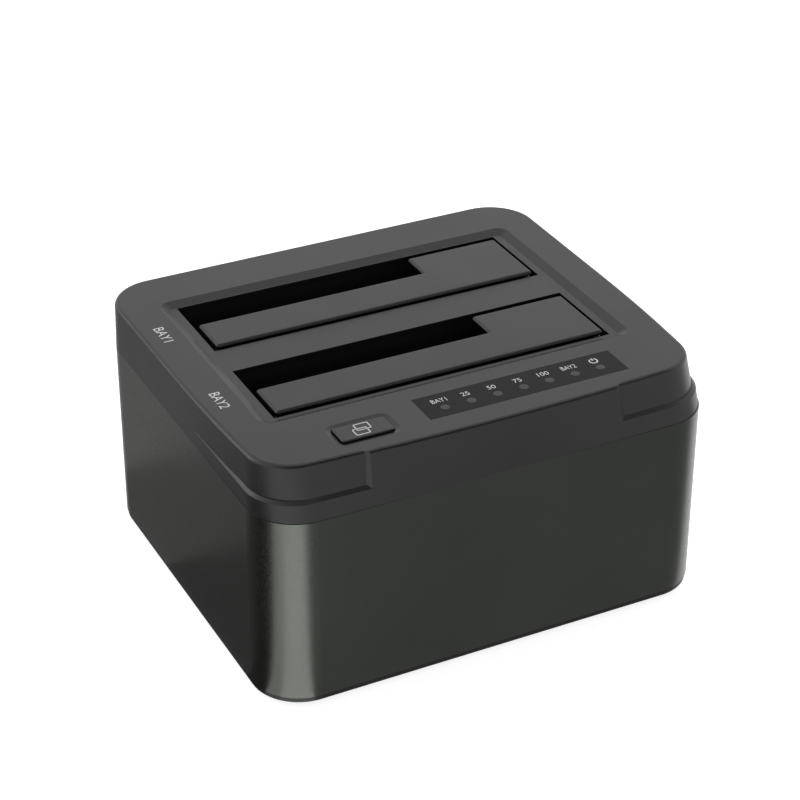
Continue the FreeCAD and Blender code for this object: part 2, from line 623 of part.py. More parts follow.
def screw(name, x, y, under_head, shank, head, length, upwards=True):
    """One pan-head screw with a cross recess, standing along Z with its head's seat at a height."""
    way = 1 if upwards else -1
    low = f"({under_head}) - head_height" if upwards else under_head
    stem_low = under_head if upwards else f"({under_head}) - ({length})"
    cap = rod(name + "_head", head, "head_height", x, y, low)
    stem = rod(name + "_shank", shank, length, x, y, stem_low)
    whole = join(name + "_blank", cap, stem)
    depth = "head_height / 2"
    face = f"({under_head}) - {way} * head_height"
    slot_low = face if upwards else f"({face}) - {depth}"
    arms = [box(f"{name}_arm_{turn}", wide, deep, depth, x, y, slot_low)
            for turn, (wide, deep) in enumerate([(f"{head} * 1.1", "0.5"), ("0.5", f"{head} * 1.1")])]
    return cut(name, whole, *arms)


def make_case_screws():
    """The four long screws under the feet that pull base, sleeve and cover together."""
    seat = "foot_height + foot_pocket + head_height + 0.3"
    screws = [screw(f"case_screw_{number}", x, y, seat, "case_screw_radius",
                    "case_screw_head", "case_screw_length")
              for number, (x, y) in enumerate(POSTS, start=1)]
    return group("case_screws", *screws)


# ---------------------------------------------------------------- top cover

def tangent_arc(centre, radius, start, end):
    """The arc about a centre from one point to another, anticlockwise."""
    first = math.atan2(start[1] - centre[1], start[0] - centre[0])
    last = math.atan2(end[1] - centre[1], end[0] - centre[0])
    if last < first:
        last += 2 * math.pi
    circle = Part.Circle(Vector(centre[0], centre[1], 0), Vector(0, 0, 1), radius)
    return Part.ArcOfCircle(circle, first, last)


def bowed_outline(sketch, inset, setback, bow, side_bow, corner, rear_corner):
    """A cover outline: straight rear and sides, sides that draw in and a bowed front.

    inset is the lean of the rear and sides, setback that of the front's middle.
    """
    values = [float(sketch.evalExpression(linked(text)))
              for text in (inset, setback, bow, side_bow, corner, rear_corner)]
    lean, back, front_r, side_r, corner_r, rear_r = values
    half = size("body_width") / 2 - lean
    rear = size("back_face") - lean
    front = size("front_face") + back
    bend = size("front_face") + size("bow_start")
    # the corner's centre is as far from each big circle's centre as their radii differ
    side_c = (half - side_r, bend)
    front_c = (0.0, front + front_r)
    a, b = side_r - corner_r, front_r - corner_r
    dx, dy = front_c[0] - side_c[0], front_c[1] - side_c[1]
    gap = math.hypot(dx, dy)
    along = (a * a - b * b + gap * gap) / (2 * gap)
    off = math.sqrt(a * a - along * along)
    corner_c = (side_c[0] + (along * dx + off * dy) / gap, side_c[1] + (along * dy - off * dx) / gap)

    def touch(centre, radius):
        reach = math.hypot(corner_c[0] - centre[0], corner_c[1] - centre[1])
        scale = radius / reach
        return (centre[0] + (corner_c[0] - centre[0]) * scale,
                centre[1] + (corner_c[1] - centre[1]) * scale)

    on_side, on_front = touch(side_c, side_r), touch(front_c, front_r)

    def mirror(point):
        return (-point[0], point[1])

    pieces = [
        Part.LineSegment(Vector(half, bend, 0), Vector(half, rear - rear_r, 0)),
        tangent_arc((half - rear_r, rear - rear_r), rear_r, (half, rear - rear_r), (half - rear_r, rear)),
        Part.LineSegment(Vector(half - rear_r, rear, 0), Vector(rear_r - half, rear, 0)),
        tangent_arc((rear_r - half, rear - rear_r), rear_r, (rear_r - half, rear), (-half, rear - rear_r)),
        Part.LineSegment(Vector(-half, rear - rear_r, 0), Vector(-half, bend, 0)),
        tangent_arc(mirror(side_c), side_r, (-half, bend), mirror(on_side)),
        tangent_arc(mirror(corner_c), corner_r, mirror(on_side), mirror(on_front)),
        tangent_arc(front_c, front_r, mirror(on_front), on_front),
        tangent_arc(corner_c, corner_r, on_front, on_side),
        tangent_arc(side_c, side_r, on_side, (half, bend)),
    ]
    sketch.addGeometry(pieces)
    count = len(pieces)
    for index in range(count):
        after = (index + 1) % count
        sketch.addConstraint(Sketcher.Constraint("Tangent", index, 2, after, 1))
    sketch.addConstraint(Sketcher.Constraint("Vertical", 0))
    sketch.addConstraint(Sketcher.Constraint("Horizontal", 2))
    sketch.addConstraint(Sketcher.Constraint("Vertical", 4))
    tie(sketch, "Radius", 1, formula=rear_corner)
    tie(sketch, "Radius", 3, formula=rear_corner)
    tie(sketch, "Radius", 5, formula=side_bow)
    tie(sketch, "Radius", 6, formula=corner)
    tie(sketch, "Radius", 7, formula=bow)
    tie(sketch, "Radius", 8, formula=corner)
    tie(sketch, "Radius", 9, formula=side_bow)
    tie(sketch, "DistanceX", -1, 1, 0, 1, formula=f"body_width / 2 - ({inset})")
    tie(sketch, "DistanceX", 4, 1, -1, 1, formula=f"body_width / 2 - ({inset})")
    tie(sketch, "DistanceY", -1, 1, 2, 1, formula=f"back_face - ({inset})")
    tie(sketch, "DistanceY", -1, 1, 0, 1, formula="front_face + bow_start")
    tie(sketch, "DistanceY", -1, 1, 4, 2, formula="front_face + bow_start")
    tie(sketch, "DistanceY", -1, 1, 7, 3, formula=f"front_face + ({setback}) + ({bow})")


def leaning_block(name, foot_setback, foot_side_bow, top_setback, side_bow):
    """A block from the seam to the cover's top, lofted between two bowed outlines."""
    body = new_body(name)
    foot = new_sketch(body, name + "_foot", level="seam_level")
    bowed_outline(foot, "0", foot_setback, "foot_bow", foot_side_bow, "body_corner", "body_corner")
    top = new_sketch(body, name + "_top", level="top_level")
    bowed_outline(top, "side_setback", top_setback, "crown_bow", side_bow, "crown_corner",
                  "body_corner - side_setback")
    loft = body.newObject("PartDesign::AdditiveLoft", name + "_loft")
    loft.Profile = top
    loft.Sections = [foot]
    loft.Ruled = True
    soften(body, name + "_edge", "edge_round", lambda edge: level_at(edge, size("top_level")))
    return body


def lofted(name, plane, first, second):
    """A solid between two sketched outlines; each is a level and a way to draw it."""
    body = new_body(name)
    sketches = []
    for label, (level, draw) in (("near", first), ("far", second)):
        sketch = new_sketch(body, f"{name}_{label}", plane, level)
        draw(sketch)
        sketches.append(sketch)
    loft = body.newObject("PartDesign::AdditiveLoft", name + "_loft")
    loft.Profile = sketches[0]
    loft.Sections = [sketches[1]]
    loft.Ruled = True
    return body


def ring_block():
    """The block that keeps the ring: level round the front, running out half-way back."""
    body = new_body("ring_block")
    side = new_sketch(body, "ring_side", "YZ_Plane")
    top = "seam_level + ring_height"
    polygon(side, [("front_face - 2", "seam_level"), ("front_face + bow_start", "seam_level"),
                   ("front_face + ring_run", top), ("front_face - 2", top)])
    pad(body, side, "body_width + 4", middle=True)
    return body


def chin_block():
    """The wedge that keeps the chin: a trapezium that widens into the cover."""
    flare = "(chin_edge / chin_relief)"
    ahead, behind = "1.0", "8.0"

    def trapezium(depth):
        top_half = f"(chin_width / 2 + (({depth}) - chin_setback) * {flare})"
        foot_half = f"(chin_width / 2 + chin_spread + ({depth}) * {flare})"

        def draw(sketch):
            low, high = "seam_level", "top_level + 1"
            polygon(sketch, [(f"-{foot_half}", low), (foot_half, low), (top_half, high),
                             (f"-{top_half}", high)])
        return draw

    near = (f"-(front_face - {ahead})", trapezium(f"-{ahead}"))
    far = (f"-(front_face + {behind})", trapezium(behind))
    return lofted("chin_block", "XZ_Plane", near, far)


def dished(name, wide, deep, slope, depth, x, y, corner):
    """A cutter for a shallow recess with sloping sides; it stands 1 mm above the cover."""
    spread = f"({slope}) * 1.0 / ({depth})"
    top = ("top_level + 1", lambda sketch: outline(
        sketch, f"({wide}) + 2 * {spread}", f"({deep}) + 2 * {spread}", x, y, f"({corner}) + {spread}"))
    foot = (f"top_level - ({depth})", lambda sketch: outline(
        sketch, f"({wide}) - 2 * ({slope})", f"({deep}) - 2 * ({slope})", x, y,
        f"({corner}) - ({slope}) + 1"))
    return lofted(name, "XY_Plane", top, foot)


def make_cover():
    """The top cover: crown, ring and chin outside; bays, panel openings and posts inside."""
    crown = leaning_block("crown", "crown_foot_setback", "crown_foot_bow", "crown_setback", "side_bow")
    skirt = leaning_block("skirt", "0", "foot_bow", "chin_setback", "ring_bow")
    ring = overlap("ring", skirt, ring_block())
    doc.recompute()

    def on_ring_top(edge):
        bounds = edge.BoundBox
        runs_across = bounds.YLength < 0.01 and bounds.YMin > size("front_face") + 10
        return level_at(edge, size("seam_level") + size("ring_height")) and not runs_across

    ledge = doc.addObject("Part::Chamfer", "ring_ledge")
    ledge.Base = ring
    edges = enumerate(ring.Shape.Edges, start=1)
    ledge.Edges = [(number, size("ring_slope"), size("ring_slope"))
                   for number, edge in edges if on_ring_top(edge)]
    chin = overlap("chin", skirt, chin_block())
    outside = join("cover_outside", crown, ledge, chin)

    deck_middle = "front_face + bay_front - recess_ahead + recess_length / 2"
    button_y = "front_face + button_y"
    window_y = "front_face + window_y"
    hollow = new_body("cover_hollow")
    padded_box(hollow, "hollow_low", "body_width - 2 * cover_wall", "body_depth - 2 * cover_wall",
               "seam_level - 1", "seam_level + cover_step", corner="body_corner - cover_wall")
    padded_box(hollow, "hollow_high", "body_width - 2 * upper_wall", "body_depth - 2 * upper_wall",
               "seam_level", "under_level", "0", "upper_shift", corner="body_corner - upper_wall")
    openings = [box(f"{name}_opening", "bay_width", "bay_length", "cover_height", "0",
                    f"{edge} + bay_length / 2", "seam_level + 1") for name, edge in BAYS]
    gap = "2 * button_gap"
    button_hole = new_body("button_hole")
    padded_box(button_hole, "button_hole_outline", f"button_width + {gap}", f"button_length + {gap}",
               "seam_level + 1", "top_level + 1", "button_x", button_y, "button_corner + button_gap")
    window_hole = box("window_hole", "window_width", "window_length", "cover_height",
                      "window_x", window_y, "seam_level + 1")
    recess = dished("recess", "recess_width", "recess_length", "recess_slope", "recess_depth",
                    "0", deck_middle, "recess_corner")
    dish = dished("button_dish", "button_width + 2 * button_border",
                  "button_length + 2 * button_border", "button_border - button_gap",
                  "button_recess", "button_x", button_y, "dish_corner")
    shell = cut("cover_shell", outside, hollow, recess, dish, button_hole, window_hole, *openings)

    lip = new_body("cover_lip")
    loop = new_sketch(lip, "lip_outline", level="seam_level - lip_height")
    within = "2 * (shell_gap + lip_wall)"
    outline(loop, "inner_width - 2 * shell_gap", "inner_depth - 2 * shell_gap",
            corner="inner_corner - shell_gap")
    outline(loop, f"inner_width - {within}", f"inner_depth - {within}",
            corner="inner_corner - shell_gap - lip_wall")
    pad(lip, loop, "lip_height + 2.0")

    posts = [rod(f"post_{n}", "post_radius", "under_level + 0.5 - screw_boss_top - shell_gap", x, y,
                 "screw_boss_top + shell_gap") for n, (x, y) in enumerate(POSTS, start=1)]
    bosses = [rod(f"ear_boss_{n}", "ear_boss_radius", "ear_drop + 0.5", x, y, "under_level - ear_drop")
              for n, (x, y) in enumerate(EARS, start=1)]
    studs = [rod(f"panel_boss_{n}", "panel_boss_radius", "under_level + 0.5 - panel_top", x, y,
                 "panel_top") for n, (x, y) in enumerate(PANEL_SCREWS, start=1)]
    full = join("cover_with_posts", shell, lip, *posts, *bosses, *studs)

    drills = [rod(f"post_drill_{n}", "case_screw_radius", "case_screw_length", x, y,
                  "screw_boss_top") for n, (x, y) in enumerate(POSTS, start=1)]
    drills += [rod(f"ear_drill_{n}", "small_screw_radius", "ear_drop - 0.4", x, y,
                   "under_level - ear_drop - 0.1") for n, (x, y) in enumerate(EARS, start=1)]
    drills += [rod(f"panel_drill_{n}", "small_screw_radius", "5.0", x, y, "panel_top - 0.1")
               for n, (x, y) in enumerate(PANEL_SCREWS, start=1)]
    return cut("top_cover", full, *drills)


# ---------------------------------------------------------------- wells, flaps, pins, springs

def make_well(name, edge):
    """One drive well: a deep box under its bay, with a hinge channel, ears and a foot slot."""
    body = new_body(name + "_drive_well")
    wide = "bay_width + 2 * well_wall"
    depth = "bay_length + well_relief + 2 * well_wall"
    middle = "(bay_length - well_relief) / 2"
    padded_box(body, name + "_well_block", wide, depth, "well_foot", "under_level", "0", middle)
    channel_depth = "channel_reach + well_wall"
    channel_low = "under_level - channel_height"
    padded_box(body, name + "_channel_block", wide, channel_depth, f"{channel_low} - well_wall",
               "under_level", "0", f"-({channel_depth}) / 2")
    ear_top = "under_level - ear_drop"
    padded_box(body, name + "_ears", f"{wide} + 2 * ear_length", "ear_width",
               f"{ear_top} - ear_thick", ear_top, "0", "bay_length / 2")
    sunk_box(body, name + "_well_room", "bay_width", "bay_length + well_relief", "floor_level",
             "under_level", "0", middle)
    sunk_box(body, name + "_channel_room", "bay_width", "channel_reach", channel_low,
             "under_level", "0", "-channel_reach / 2 + 0.001")
    sunk_box(body, name + "_connector_slot", "sata_width + 2 * sata_gap", "sata_length + 2 * sata_gap",
             "well_foot - 1", "floor_level", "sata_offset - bay_width / 2", "bay_length - sata_inset")
    sunk_rods(body, name + "_ear_holes", "small_screw_radius + screw_clearance",
              f"{ear_top} - ear_thick - 1", ear_top,
              [(f"{side} * ({EAR_X})", "bay_length / 2") for side in (-1, 1)])
    bore = new_sketch(body, name + "_pin_bore", "YZ_Plane")
    disc(bore, "pin_radius + 0.01", "-hinge_back", "hinge_level")
    pocket(body, bore, f"{wide} + 2", middle=True)
    return move(body, y=edge)


def make_flap(name, edge):
    """One sprung flap: an L-shaped plate, a bent neck and a knuckle under the bay's rim."""
    body = new_body(name + "_flap")
    left, right = "-(bay_width / 2 - flap_gap)", "bay_width / 2 - flap_end_gap"
    step = "slot_width - bay_width / 2"
    top = "deck_level - flap_sink"
    low = f"({top}) - flap_thick"
    plate = new_sketch(body, name + "_plate", level=low)
    polygon(plate, [(left, "flap_gap"), (right, "flap_gap"), (right, "flap_reach"),
                    (step, "flap_reach"), (step, "flap_strip"), (left, "flap_strip")])
    pad(body, plate, "flap_thick")
    length = f"({right}) - ({left})"
    neck = new_sketch(body, name + "_neck", "YZ_Plane", left)
    cover = f"({top}) - neck_cover"
    polygon(neck, [("flap_gap", cover), ("flap_gap - neck_front", f"({low}) - neck_hang"),
                   ("-neck_waist", "hinge_level + 0.65 * knuckle_radius"),
                   ("-0.8 * hinge_back", "hinge_level - 0.75 * knuckle_radius"),
                   ("flap_gap + neck_foot", "hinge_level + neck_foot / 4"),
                   ("flap_gap + neck_run", low), ("flap_gap + neck_run", cover)])
    pad(body, neck, length)
    knuckle = new_sketch(body, name + "_knuckle", "YZ_Plane", left)
    disc(knuckle, "knuckle_radius", "-hinge_back", "hinge_level")
    pad(body, knuckle, length)
    bore = new_sketch(body, name + "_bore", "YZ_Plane")
    disc(bore, "pin_radius + pin_clearance", "-hinge_back", "hinge_level")
    pocket(body, bore, "bay_width + 2", middle=True)
    return move(body, y=edge)


def make_pin(name, edge):
    """The steel rod that a flap turns on; the well's side walls hold its ends."""
    reach = "bay_width / 2 + well_wall + pin_end"
    return rod(name + "_flap_pin", "pin_radius", f"2 * ({reach})", f"-({reach})",
               f"{edge} - hinge_back", "hinge_level", along="x")


def make_spring(name, edge):
    """The torsion spring on a flap's pin: one leg down the channel, one under the flap."""
    wire, radius = size("spring_wire") / 2, size("spring_radius")
    room = size("flap_end_gap") - 4 * wire
    helix = Part.makeHelix(room / size("spring_turns"), room, radius)
    section = Part.Wire([Part.Circle(Vector(radius, 0, 0), Vector(0, 1, 0), wire).toShape()])
    coil = Part.Wire(helix).makePipeShell([section], True, True)
    # the coil's axis lies along X and its ends face the back
    coil.rotate(Vector(), Vector(0, 1, 0), 90)
    coil.rotate(Vector(), Vector(1, 0, 0), 90)
    start = size("bay_width") / 2 - size("flap_end_gap") + 2 * wire
    axis_y, axis_z = size(edge) - size("hinge_back"), size("hinge_level")
    coil.translate(Vector(start, axis_y, axis_z))
    underside = size("deck_level") - size("flap_sink") - size("flap_thick") - wire - size("spring_touch")
    ends = sorted((vertex.Point for vertex in Part.Wire(helix).Vertexes), key=lambda p: p.z)
    reach = size("flap_gap") + size("spring_reach") + size(edge)
    back = axis_y + radius

    def leg(*points):
        parts = []
        for first, second in zip(points, points[1:]):
            way = second.sub(first)
            parts.append(Part.makeCylinder(wire, way.Length, first, way))
            parts.append(Part.makeSphere(wire, second))
        return parts

    rest = leg(Vector(start, back, axis_z), Vector(start, reach, underside),
               Vector(start - 4 * size("spring_wire"), reach, underside))
    channel_low = size("under_level") - size("channel_height") + 2 * wire
    far = start + ends[-1].z
    hold = leg(Vector(far, back, axis_z), Vector(far, back, channel_low))
    made = doc.addObject("Part::Feature", name + "_flap_spring")
    made.Shape = coil.multiFuse(rest + hold)
    return made


# ---------------------------------------------------------------- boards and connectors

def make_main_board():
    """The main circuit board on the base's standoffs."""
    body = new_body("main_board")
    padded_box(body, "board_outline", "board_width", "board_length", "board_level", "board_top",
               "0", "board_middle", "board_corner")
    sunk_rods(body, "board_holes", "small_screw_radius + screw_clearance", "board_level",
              "board_top", STANDOFFS)
    return body


def make_board_screws():
    """Four small screws that hold the main board to its standoffs."""
    return group("board_screws", *[
        screw(f"board_screw_{n}", x, y, "board_top", "small_screw_radius - 0.1", "small_screw_head",
              "small_screw_length", upwards=False) for n, (x, y) in enumerate(STANDOFFS, start=1)])


def make_well_screws():
    """Four small screws that hold the wells' ears to the cover."""
    seat = "under_level - ear_drop - ear_thick"
    return group("well_screws", *[
        screw(f"well_screw_{n}", x, y, seat, "small_screw_radius", "small_screw_head",
              "small_screw_length") for n, (x, y) in enumerate(EARS, start=1)])


def make_panel_screws():
    """Two small screws that hold the control board to the cover's bosses."""
    return group("panel_screws", *[
        screw(f"panel_screw_{n}", x, y, "panel_level", "small_screw_radius", "small_screw_head",
              "small_screw_length") for n, (x, y) in enumerate(PANEL_SCREWS, start=1)])


def make_sata(name, edge):
    """One drive connector: a tall bar with the two keyed slots of data and power."""
    body = new_body(name + "_drive_connector")
    middle_y = f"{edge} + bay_length - sata_inset"
    padded_box(body, name + "_sata_bar", "sata_width", "sata_length", "board_top",
               "board_top + sata_height", "sata_offset - bay_width / 2", middle_y)
    slots = new_sketch(body, name + "_sata_slots", level="board_top + sata_height")
    middle = "(sata_offset - bay_width / 2)"
    power_x = f"{middle} + (sata_bar + sata_power) / 2 - sata_shift"
    data_x = f"{middle} - (sata_bar + sata_data) / 2 - sata_shift"
    outline(slots, "sata_power", "sata_slot", power_x, middle_y)
    outline(slots, "sata_data", "sata_slot", data_x, middle_y)
    pocket(body, slots, "sata_height - sata_floor")
    return body


def make_usb():
    """The data port: a bent sheet shell and, in it, the contact tongue."""
    shell = new_body("usb_port_shell")
    middle = ("usb_middle", "board_top + usb_height / 2")
    outer = new_sketch(shell, "usb_outer", "XZ_Plane", "-back_face")
    outline(outer, "usb_width", "usb_height", *middle, corner="usb_wall * 2")
    pad(shell, outer, "usb_length")
    inner = new_sketch(shell, "usb_inner", "XZ_Plane", "-back_face")
    outline(inner, "usb_width - 2 * usb_wall", "usb_height - 2 * usb_wall", *middle,
            corner="usb_wall")
    pocket(shell, inner, "usb_length - usb_wall", upwards=True)
    tongue = new_body("usb_port_tongue")
    bar = new_sketch(tongue, "usb_tongue", "XZ_Plane", "-back_face + usb_length - usb_wall")
    outline(bar, "tongue_width", "tongue_height", *middle)
    pad(tongue, bar, "usb_length - usb_wall - tongue_sink", reverse=True)
    return shell, tongue


def make_jack():
    """The power jack: a moulded block with a deep bore and, in it, the centre pin."""
    block = box("jack_block", "jack_width", "jack_length", "jack_height", "jack_middle",
                "back_face - jack_length / 2", "board_top")
    level = "board_top + jack_height / 2 + jack_rise"
    bore = rod("jack_bore_tool", "jack_bore", "jack_bore_depth + 1", "jack_middle",
               "back_face - jack_bore_depth", level, along="y")
    housing = cut("power_jack_body", block, bore)
    pin = rod("power_jack_pin", "jack_pin", "jack_bore_depth - jack_pin_sink", "jack_middle",
              "back_face - jack_bore_depth", level, along="y")
    return housing, pin


def make_power_switch():
    """The rear rocker switch: housing with bezel, rocker on its stubs, and terminals."""
    housing = new_body("power_switch_housing")
    middle = ("switch_middle", "switch_level")
    frame = new_sketch(housing, "switch_bezel", "XZ_Plane", "-back_face")
    outline(frame, "bezel_width", "bezel_height", *middle, corner="bezel_corner")
    pad(housing, frame, "bezel_thick", reverse=True)
    can = new_sketch(housing, "switch_can", "XZ_Plane", "-back_face")
    outline(can, "switch_width", "switch_height", *middle)
    pad(housing, can, "switch_length")
    room = new_sketch(housing, "switch_room", "XZ_Plane", "-(back_face + bezel_thick)")
    outline(room, "switch_width - 2 * switch_room_wall", "rocker_height + 2 * rocker_gap", *middle)
    pocket(housing, room, "bezel_thick + switch_length - switch_room_floor", upwards=True)
    bores = new_sketch(housing, "rocker_bores", level="switch_level")
    disc(bores, "rocker_pivot + pin_clearance", "switch_middle", "back_face - rocker_sink")
    pocket(housing, bores, "bezel_height + 2", middle=True)

    rocker = new_body("power_rocker")
    side = new_sketch(rocker, "rocker_side", level="-rocker_height / 2")
    half, lift = "rocker_width / 2", "rocker_width / 2 * tan(rocker_tilt)"
    keel = "rocker_keel_width / 2"
    polygon(side, [(f"-({half})", f"rocker_rise + {lift}"), (f"-({half})", "0"),
                   (f"-({keel})", "-rocker_keel"), (keel, "-rocker_keel"), (half, "0"),
                   (half, f"rocker_rise + {lift}"), ("0", "rocker_rise")])
    pad(rocker, side, "rocker_height")
    padded_rods(rocker, "rocker_stubs", "rocker_pivot", "-switch_height / 2 + stub_gap",
                "switch_height / 2 - stub_gap", [("0", "0")])
    rocker.Placement = Placement(Vector(), Rotation(Vector(0, 0, 1), -size("rocker_tilt")))
    move(rocker, "switch_middle", "back_face - rocker_sink", "switch_level")

    back = "back_face - switch_length"
    blades = [box(f"terminal_{n}", "terminal_width", "terminal_length", "terminal_thick",
                  "switch_middle", f"{back} - terminal_length / 2",
                  f"switch_level + {side} * terminal_pitch / 2 - terminal_thick / 2")
              for n, side in enumerate((-1, 1), start=1)]
    return housing, rocker, group("switch_terminals", *blades)


def make_board_parts():
    """What stands on the main board: chips, capacitors, coils and the crystal."""
    def chip(name, wide, high, x, y):
        return box(name, wide, wide, high, x, y, "board_top")

    strip = "front_bay_edge - strip_room"
    bridges = group("bridge_chips", *[
        chip(f"bridge_chip_{label}", "bridge_side", "bridge_height", "bridge_x",
             f"{edge} + bay_length / 2") for label, edge in BAYS])
    controller = chip("copy_controller", "controller_side", "controller_height", "controller_x",
                      "front_bay_edge + controller_y")
    top = size("board_top") + size("capacitor_height")
    cans = []
    first = "capacitor_side - board_width / 2"
    for n in range(3):
        can = rod(f"capacitor_can_{n + 1}", "capacitor_radius", "capacitor_height",
                  f"{first} + {n} * capacitor_pitch", strip, "board_top")
        cans.append(rounded(f"capacitor_{n + 1}", can, "capacitor_round", lambda e: level_at(e, top)))
    coils = [box("left_coil" if side < 0 else "right_coil", "coil_width", "coil_length", "coil_height",
                 f"{side} * coil_pitch / 2", strip, "board_top") for side in (-1, 1)]
    crystal = box("clock_crystal", "crystal_width", "crystal_length", "crystal_height", "crystal_x",
                  strip, "board_top")
    return bridges, controller, group("filter_capacitors", *cans), group("power_coils", *coils), crystal


# ---------------------------------------------------------------- control panel

def make_button():
    """The copy button: a cap in its opening, a flange under the cover and a stem."""
    body = new_body("copy_button")
    place = ("button_x", "front_face + button_y")
    padded_box(body, "button_cap", "button_width", "button_length", "under_level - 0.1",
               "top_level + button_rise", *place, corner="button_corner")
    top = size("top_level") + size("button_rise")
    soften(body, "button_edge", "button_soft", lambda e: level_at(e, top))
    border = "2 * (button_gap + button_flange)"
    padded_box(body, "button_flange_outline", f"button_width + {border}", f"button_length + {border}",
               "under_level - button_flange", "under_level - 0.02", *place)
    padded_rods(body, "button_stem_rod", "button_stem", "panel_top + switch_body + plunger_rise",
                "under_level - button_flange + 0.1", [place])
    return body


def make_copy_switch():
    """The tactile switch under the copy button, with its plunger."""
    place = ("button_x", "front_face + button_y")
    body = new_body("copy_switch")
    padded_box(body, "copy_switch_block", "switch_side", "switch_side", "panel_top",
               "panel_top + switch_body", *place, corner="0.6")
    sunk_rods(body, "copy_switch_bore", "plunger_radius + 0.1",
              "panel_top + switch_body - plunger_room", "panel_top + switch_body", [place])
    plunger = rod("copy_switch_plunger", "plunger_radius", "plunger_hold + plunger_rise", *place,
                  "panel_top + switch_body - plunger_hold")
    return body, plunger


def make_window():
    """The smoked window over the status lights, held by a flange under the cover."""
    body = new_body("status_window")
    place = ("window_x", "front_face + window_y")
    gaps = "2 * window_gap"
    padded_box(body, "window_pane", f"window_width - {gaps}", f"window_length - {gaps}",
               "under_level - 0.5", "top_level", *place)
    padded_box(body, "window_flange", "window_width + 2 * window_border",
               "window_length + 2 * window_border", "under_level - window_thick",
               "under_level - 0.02", *place)
    return body


LIGHTS = [(f"window_x + {n - 3} * light_pitch", "front_face + light_y") for n in range(7)]


def make_light_guide():
    """Clear stems that lead from the lights to the window, joined by a rail."""
    body = new_body("light_guide")
    rail_low = "panel_top + guide_level"
    padded_box(body, "guide_rail_outline", "6 * light_pitch + 6 * light_radius", "4 * light_radius",
               rail_low, f"{rail_low} + guide_rail", "window_x", "front_face + light_y")
    padded_rods(body, "guide_stems", "light_radius", "panel_top + led_height + light_gap",
                "under_level - window_thick - 0.02", LIGHTS)
    return body


def make_lights():
    """The seven light-emitting packages on the control board."""
    return group("status_lights", *[
        box(f"status_light_{n}", "led_side", "led_side", "led_height", x, y, "panel_top")
        for n, (x, y) in enumerate(LIGHTS, start=1)])


def make_control_board():
    """The small board behind the panel that carries the switch and the lights."""
    body = new_body("control_board")
    padded_box(body, "control_outline", "panel_width", "panel_length", "panel_level", "panel_top",
               "0", "front_face + panel_y", "1.0")
    sunk_rods(body, "control_holes", "small_screw_radius + screw_clearance", "panel_level",
              "panel_top", PANEL_SCREWS)
    return body


# ---------------------------------------------------------------- build, check and write

NODES = [make_sleeve(), make_base(), make_feet(), make_case_screws(), make_cover()]
for bay, bay_edge in BAYS:
    NODES += [make_well(bay, bay_edge), make_flap(bay, bay_edge), make_pin(bay, bay_edge),
              make_spring(bay, bay_edge), make_sata(bay, bay_edge)]
NODES += [make_main_board(), make_board_screws(), make_well_screws(), make_panel_screws()]
NODES += [*make_usb(), *make_jack(), *make_power_switch(), *make_board_parts()]
NODES += [make_button(), *make_copy_switch(), make_window(), make_light_guide(), make_lights(),
          make_control_board()]
for node in NODES:
    node.Label = node.Name
doc.recompute()

for thing in doc.Objects:
    if "Invalid" in thing.State or "Error" in thing.State:
        raise RuntimeError(f"{thing.Name} failed: {thing.State}")
for node in NODES:
    if node.Shape.isNull() or not node.Shape.isValid():
        raise RuntimeError(f"{node.Label} has a bad shape")

os.makedirs("parts", exist_ok=True)
for node in NODES:
    node.Shape.exportStep(f"parts/{node.Label}.step")
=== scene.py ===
"""Looks of a two-bay drive duplicator: finishes, flaps, springs, marks, contacts and studio.

The solids come from the frame. Here each gets its finish, and the pieces too fine for the
solids are modelled on top of them. Lengths in the settings are metres.
"""

import json
import math

import bpy
from bpy.props import FloatProperty, FloatVectorProperty, PointerProperty, StringProperty
from mathutils import Matrix, Vector


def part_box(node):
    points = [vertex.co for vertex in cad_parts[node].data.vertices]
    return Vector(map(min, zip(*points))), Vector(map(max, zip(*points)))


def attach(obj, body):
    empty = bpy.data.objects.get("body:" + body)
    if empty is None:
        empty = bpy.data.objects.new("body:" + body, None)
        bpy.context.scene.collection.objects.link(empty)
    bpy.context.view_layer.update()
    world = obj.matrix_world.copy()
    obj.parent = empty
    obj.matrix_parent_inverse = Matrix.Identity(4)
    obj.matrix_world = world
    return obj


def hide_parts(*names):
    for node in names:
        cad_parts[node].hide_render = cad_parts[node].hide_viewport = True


bl_info = {
    "name": "Drive Duplicator",
    "version": (1, 0, 0),
    "blender": (4, 5, 0),
    "location": "3D View > Sidebar > Duplicator",
    "description": "Finishes and dresses a two-bay drive duplicator",
    "category": "Object",
}

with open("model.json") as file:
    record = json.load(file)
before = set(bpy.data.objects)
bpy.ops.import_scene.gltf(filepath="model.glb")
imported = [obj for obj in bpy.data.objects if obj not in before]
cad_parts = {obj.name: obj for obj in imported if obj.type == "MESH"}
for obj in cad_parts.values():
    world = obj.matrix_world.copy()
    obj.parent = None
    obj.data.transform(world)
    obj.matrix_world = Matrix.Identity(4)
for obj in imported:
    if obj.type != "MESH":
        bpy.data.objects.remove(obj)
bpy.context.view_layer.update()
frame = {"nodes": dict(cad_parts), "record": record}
MM = 0.001
CASE = "case"
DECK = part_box("top_cover")[1][2]
BAY_BODIES = {"front": "front_flap_body", "rear": "rear_flap_body"}
BAY_DEPTH = 28.1 * MM
# a flap's pin lies this far in front of its bay's front edge
HINGE_SETBACK = 1.5 * MM


# ---------------------------------------------------------------- small helpers

def linear(code):
    """The linear colour of an sRGB hex value such as "#5a5b5a"."""
    values = (int(code[n:n + 2], 16) / 255 for n in (1, 3, 5))
    return tuple(v / 12.92 if v <= 0.04045 else ((v + 0.055) / 1.055) ** 2.4 for v in values)


def rgba(colour):
    return (*colour[:3], 1.0)


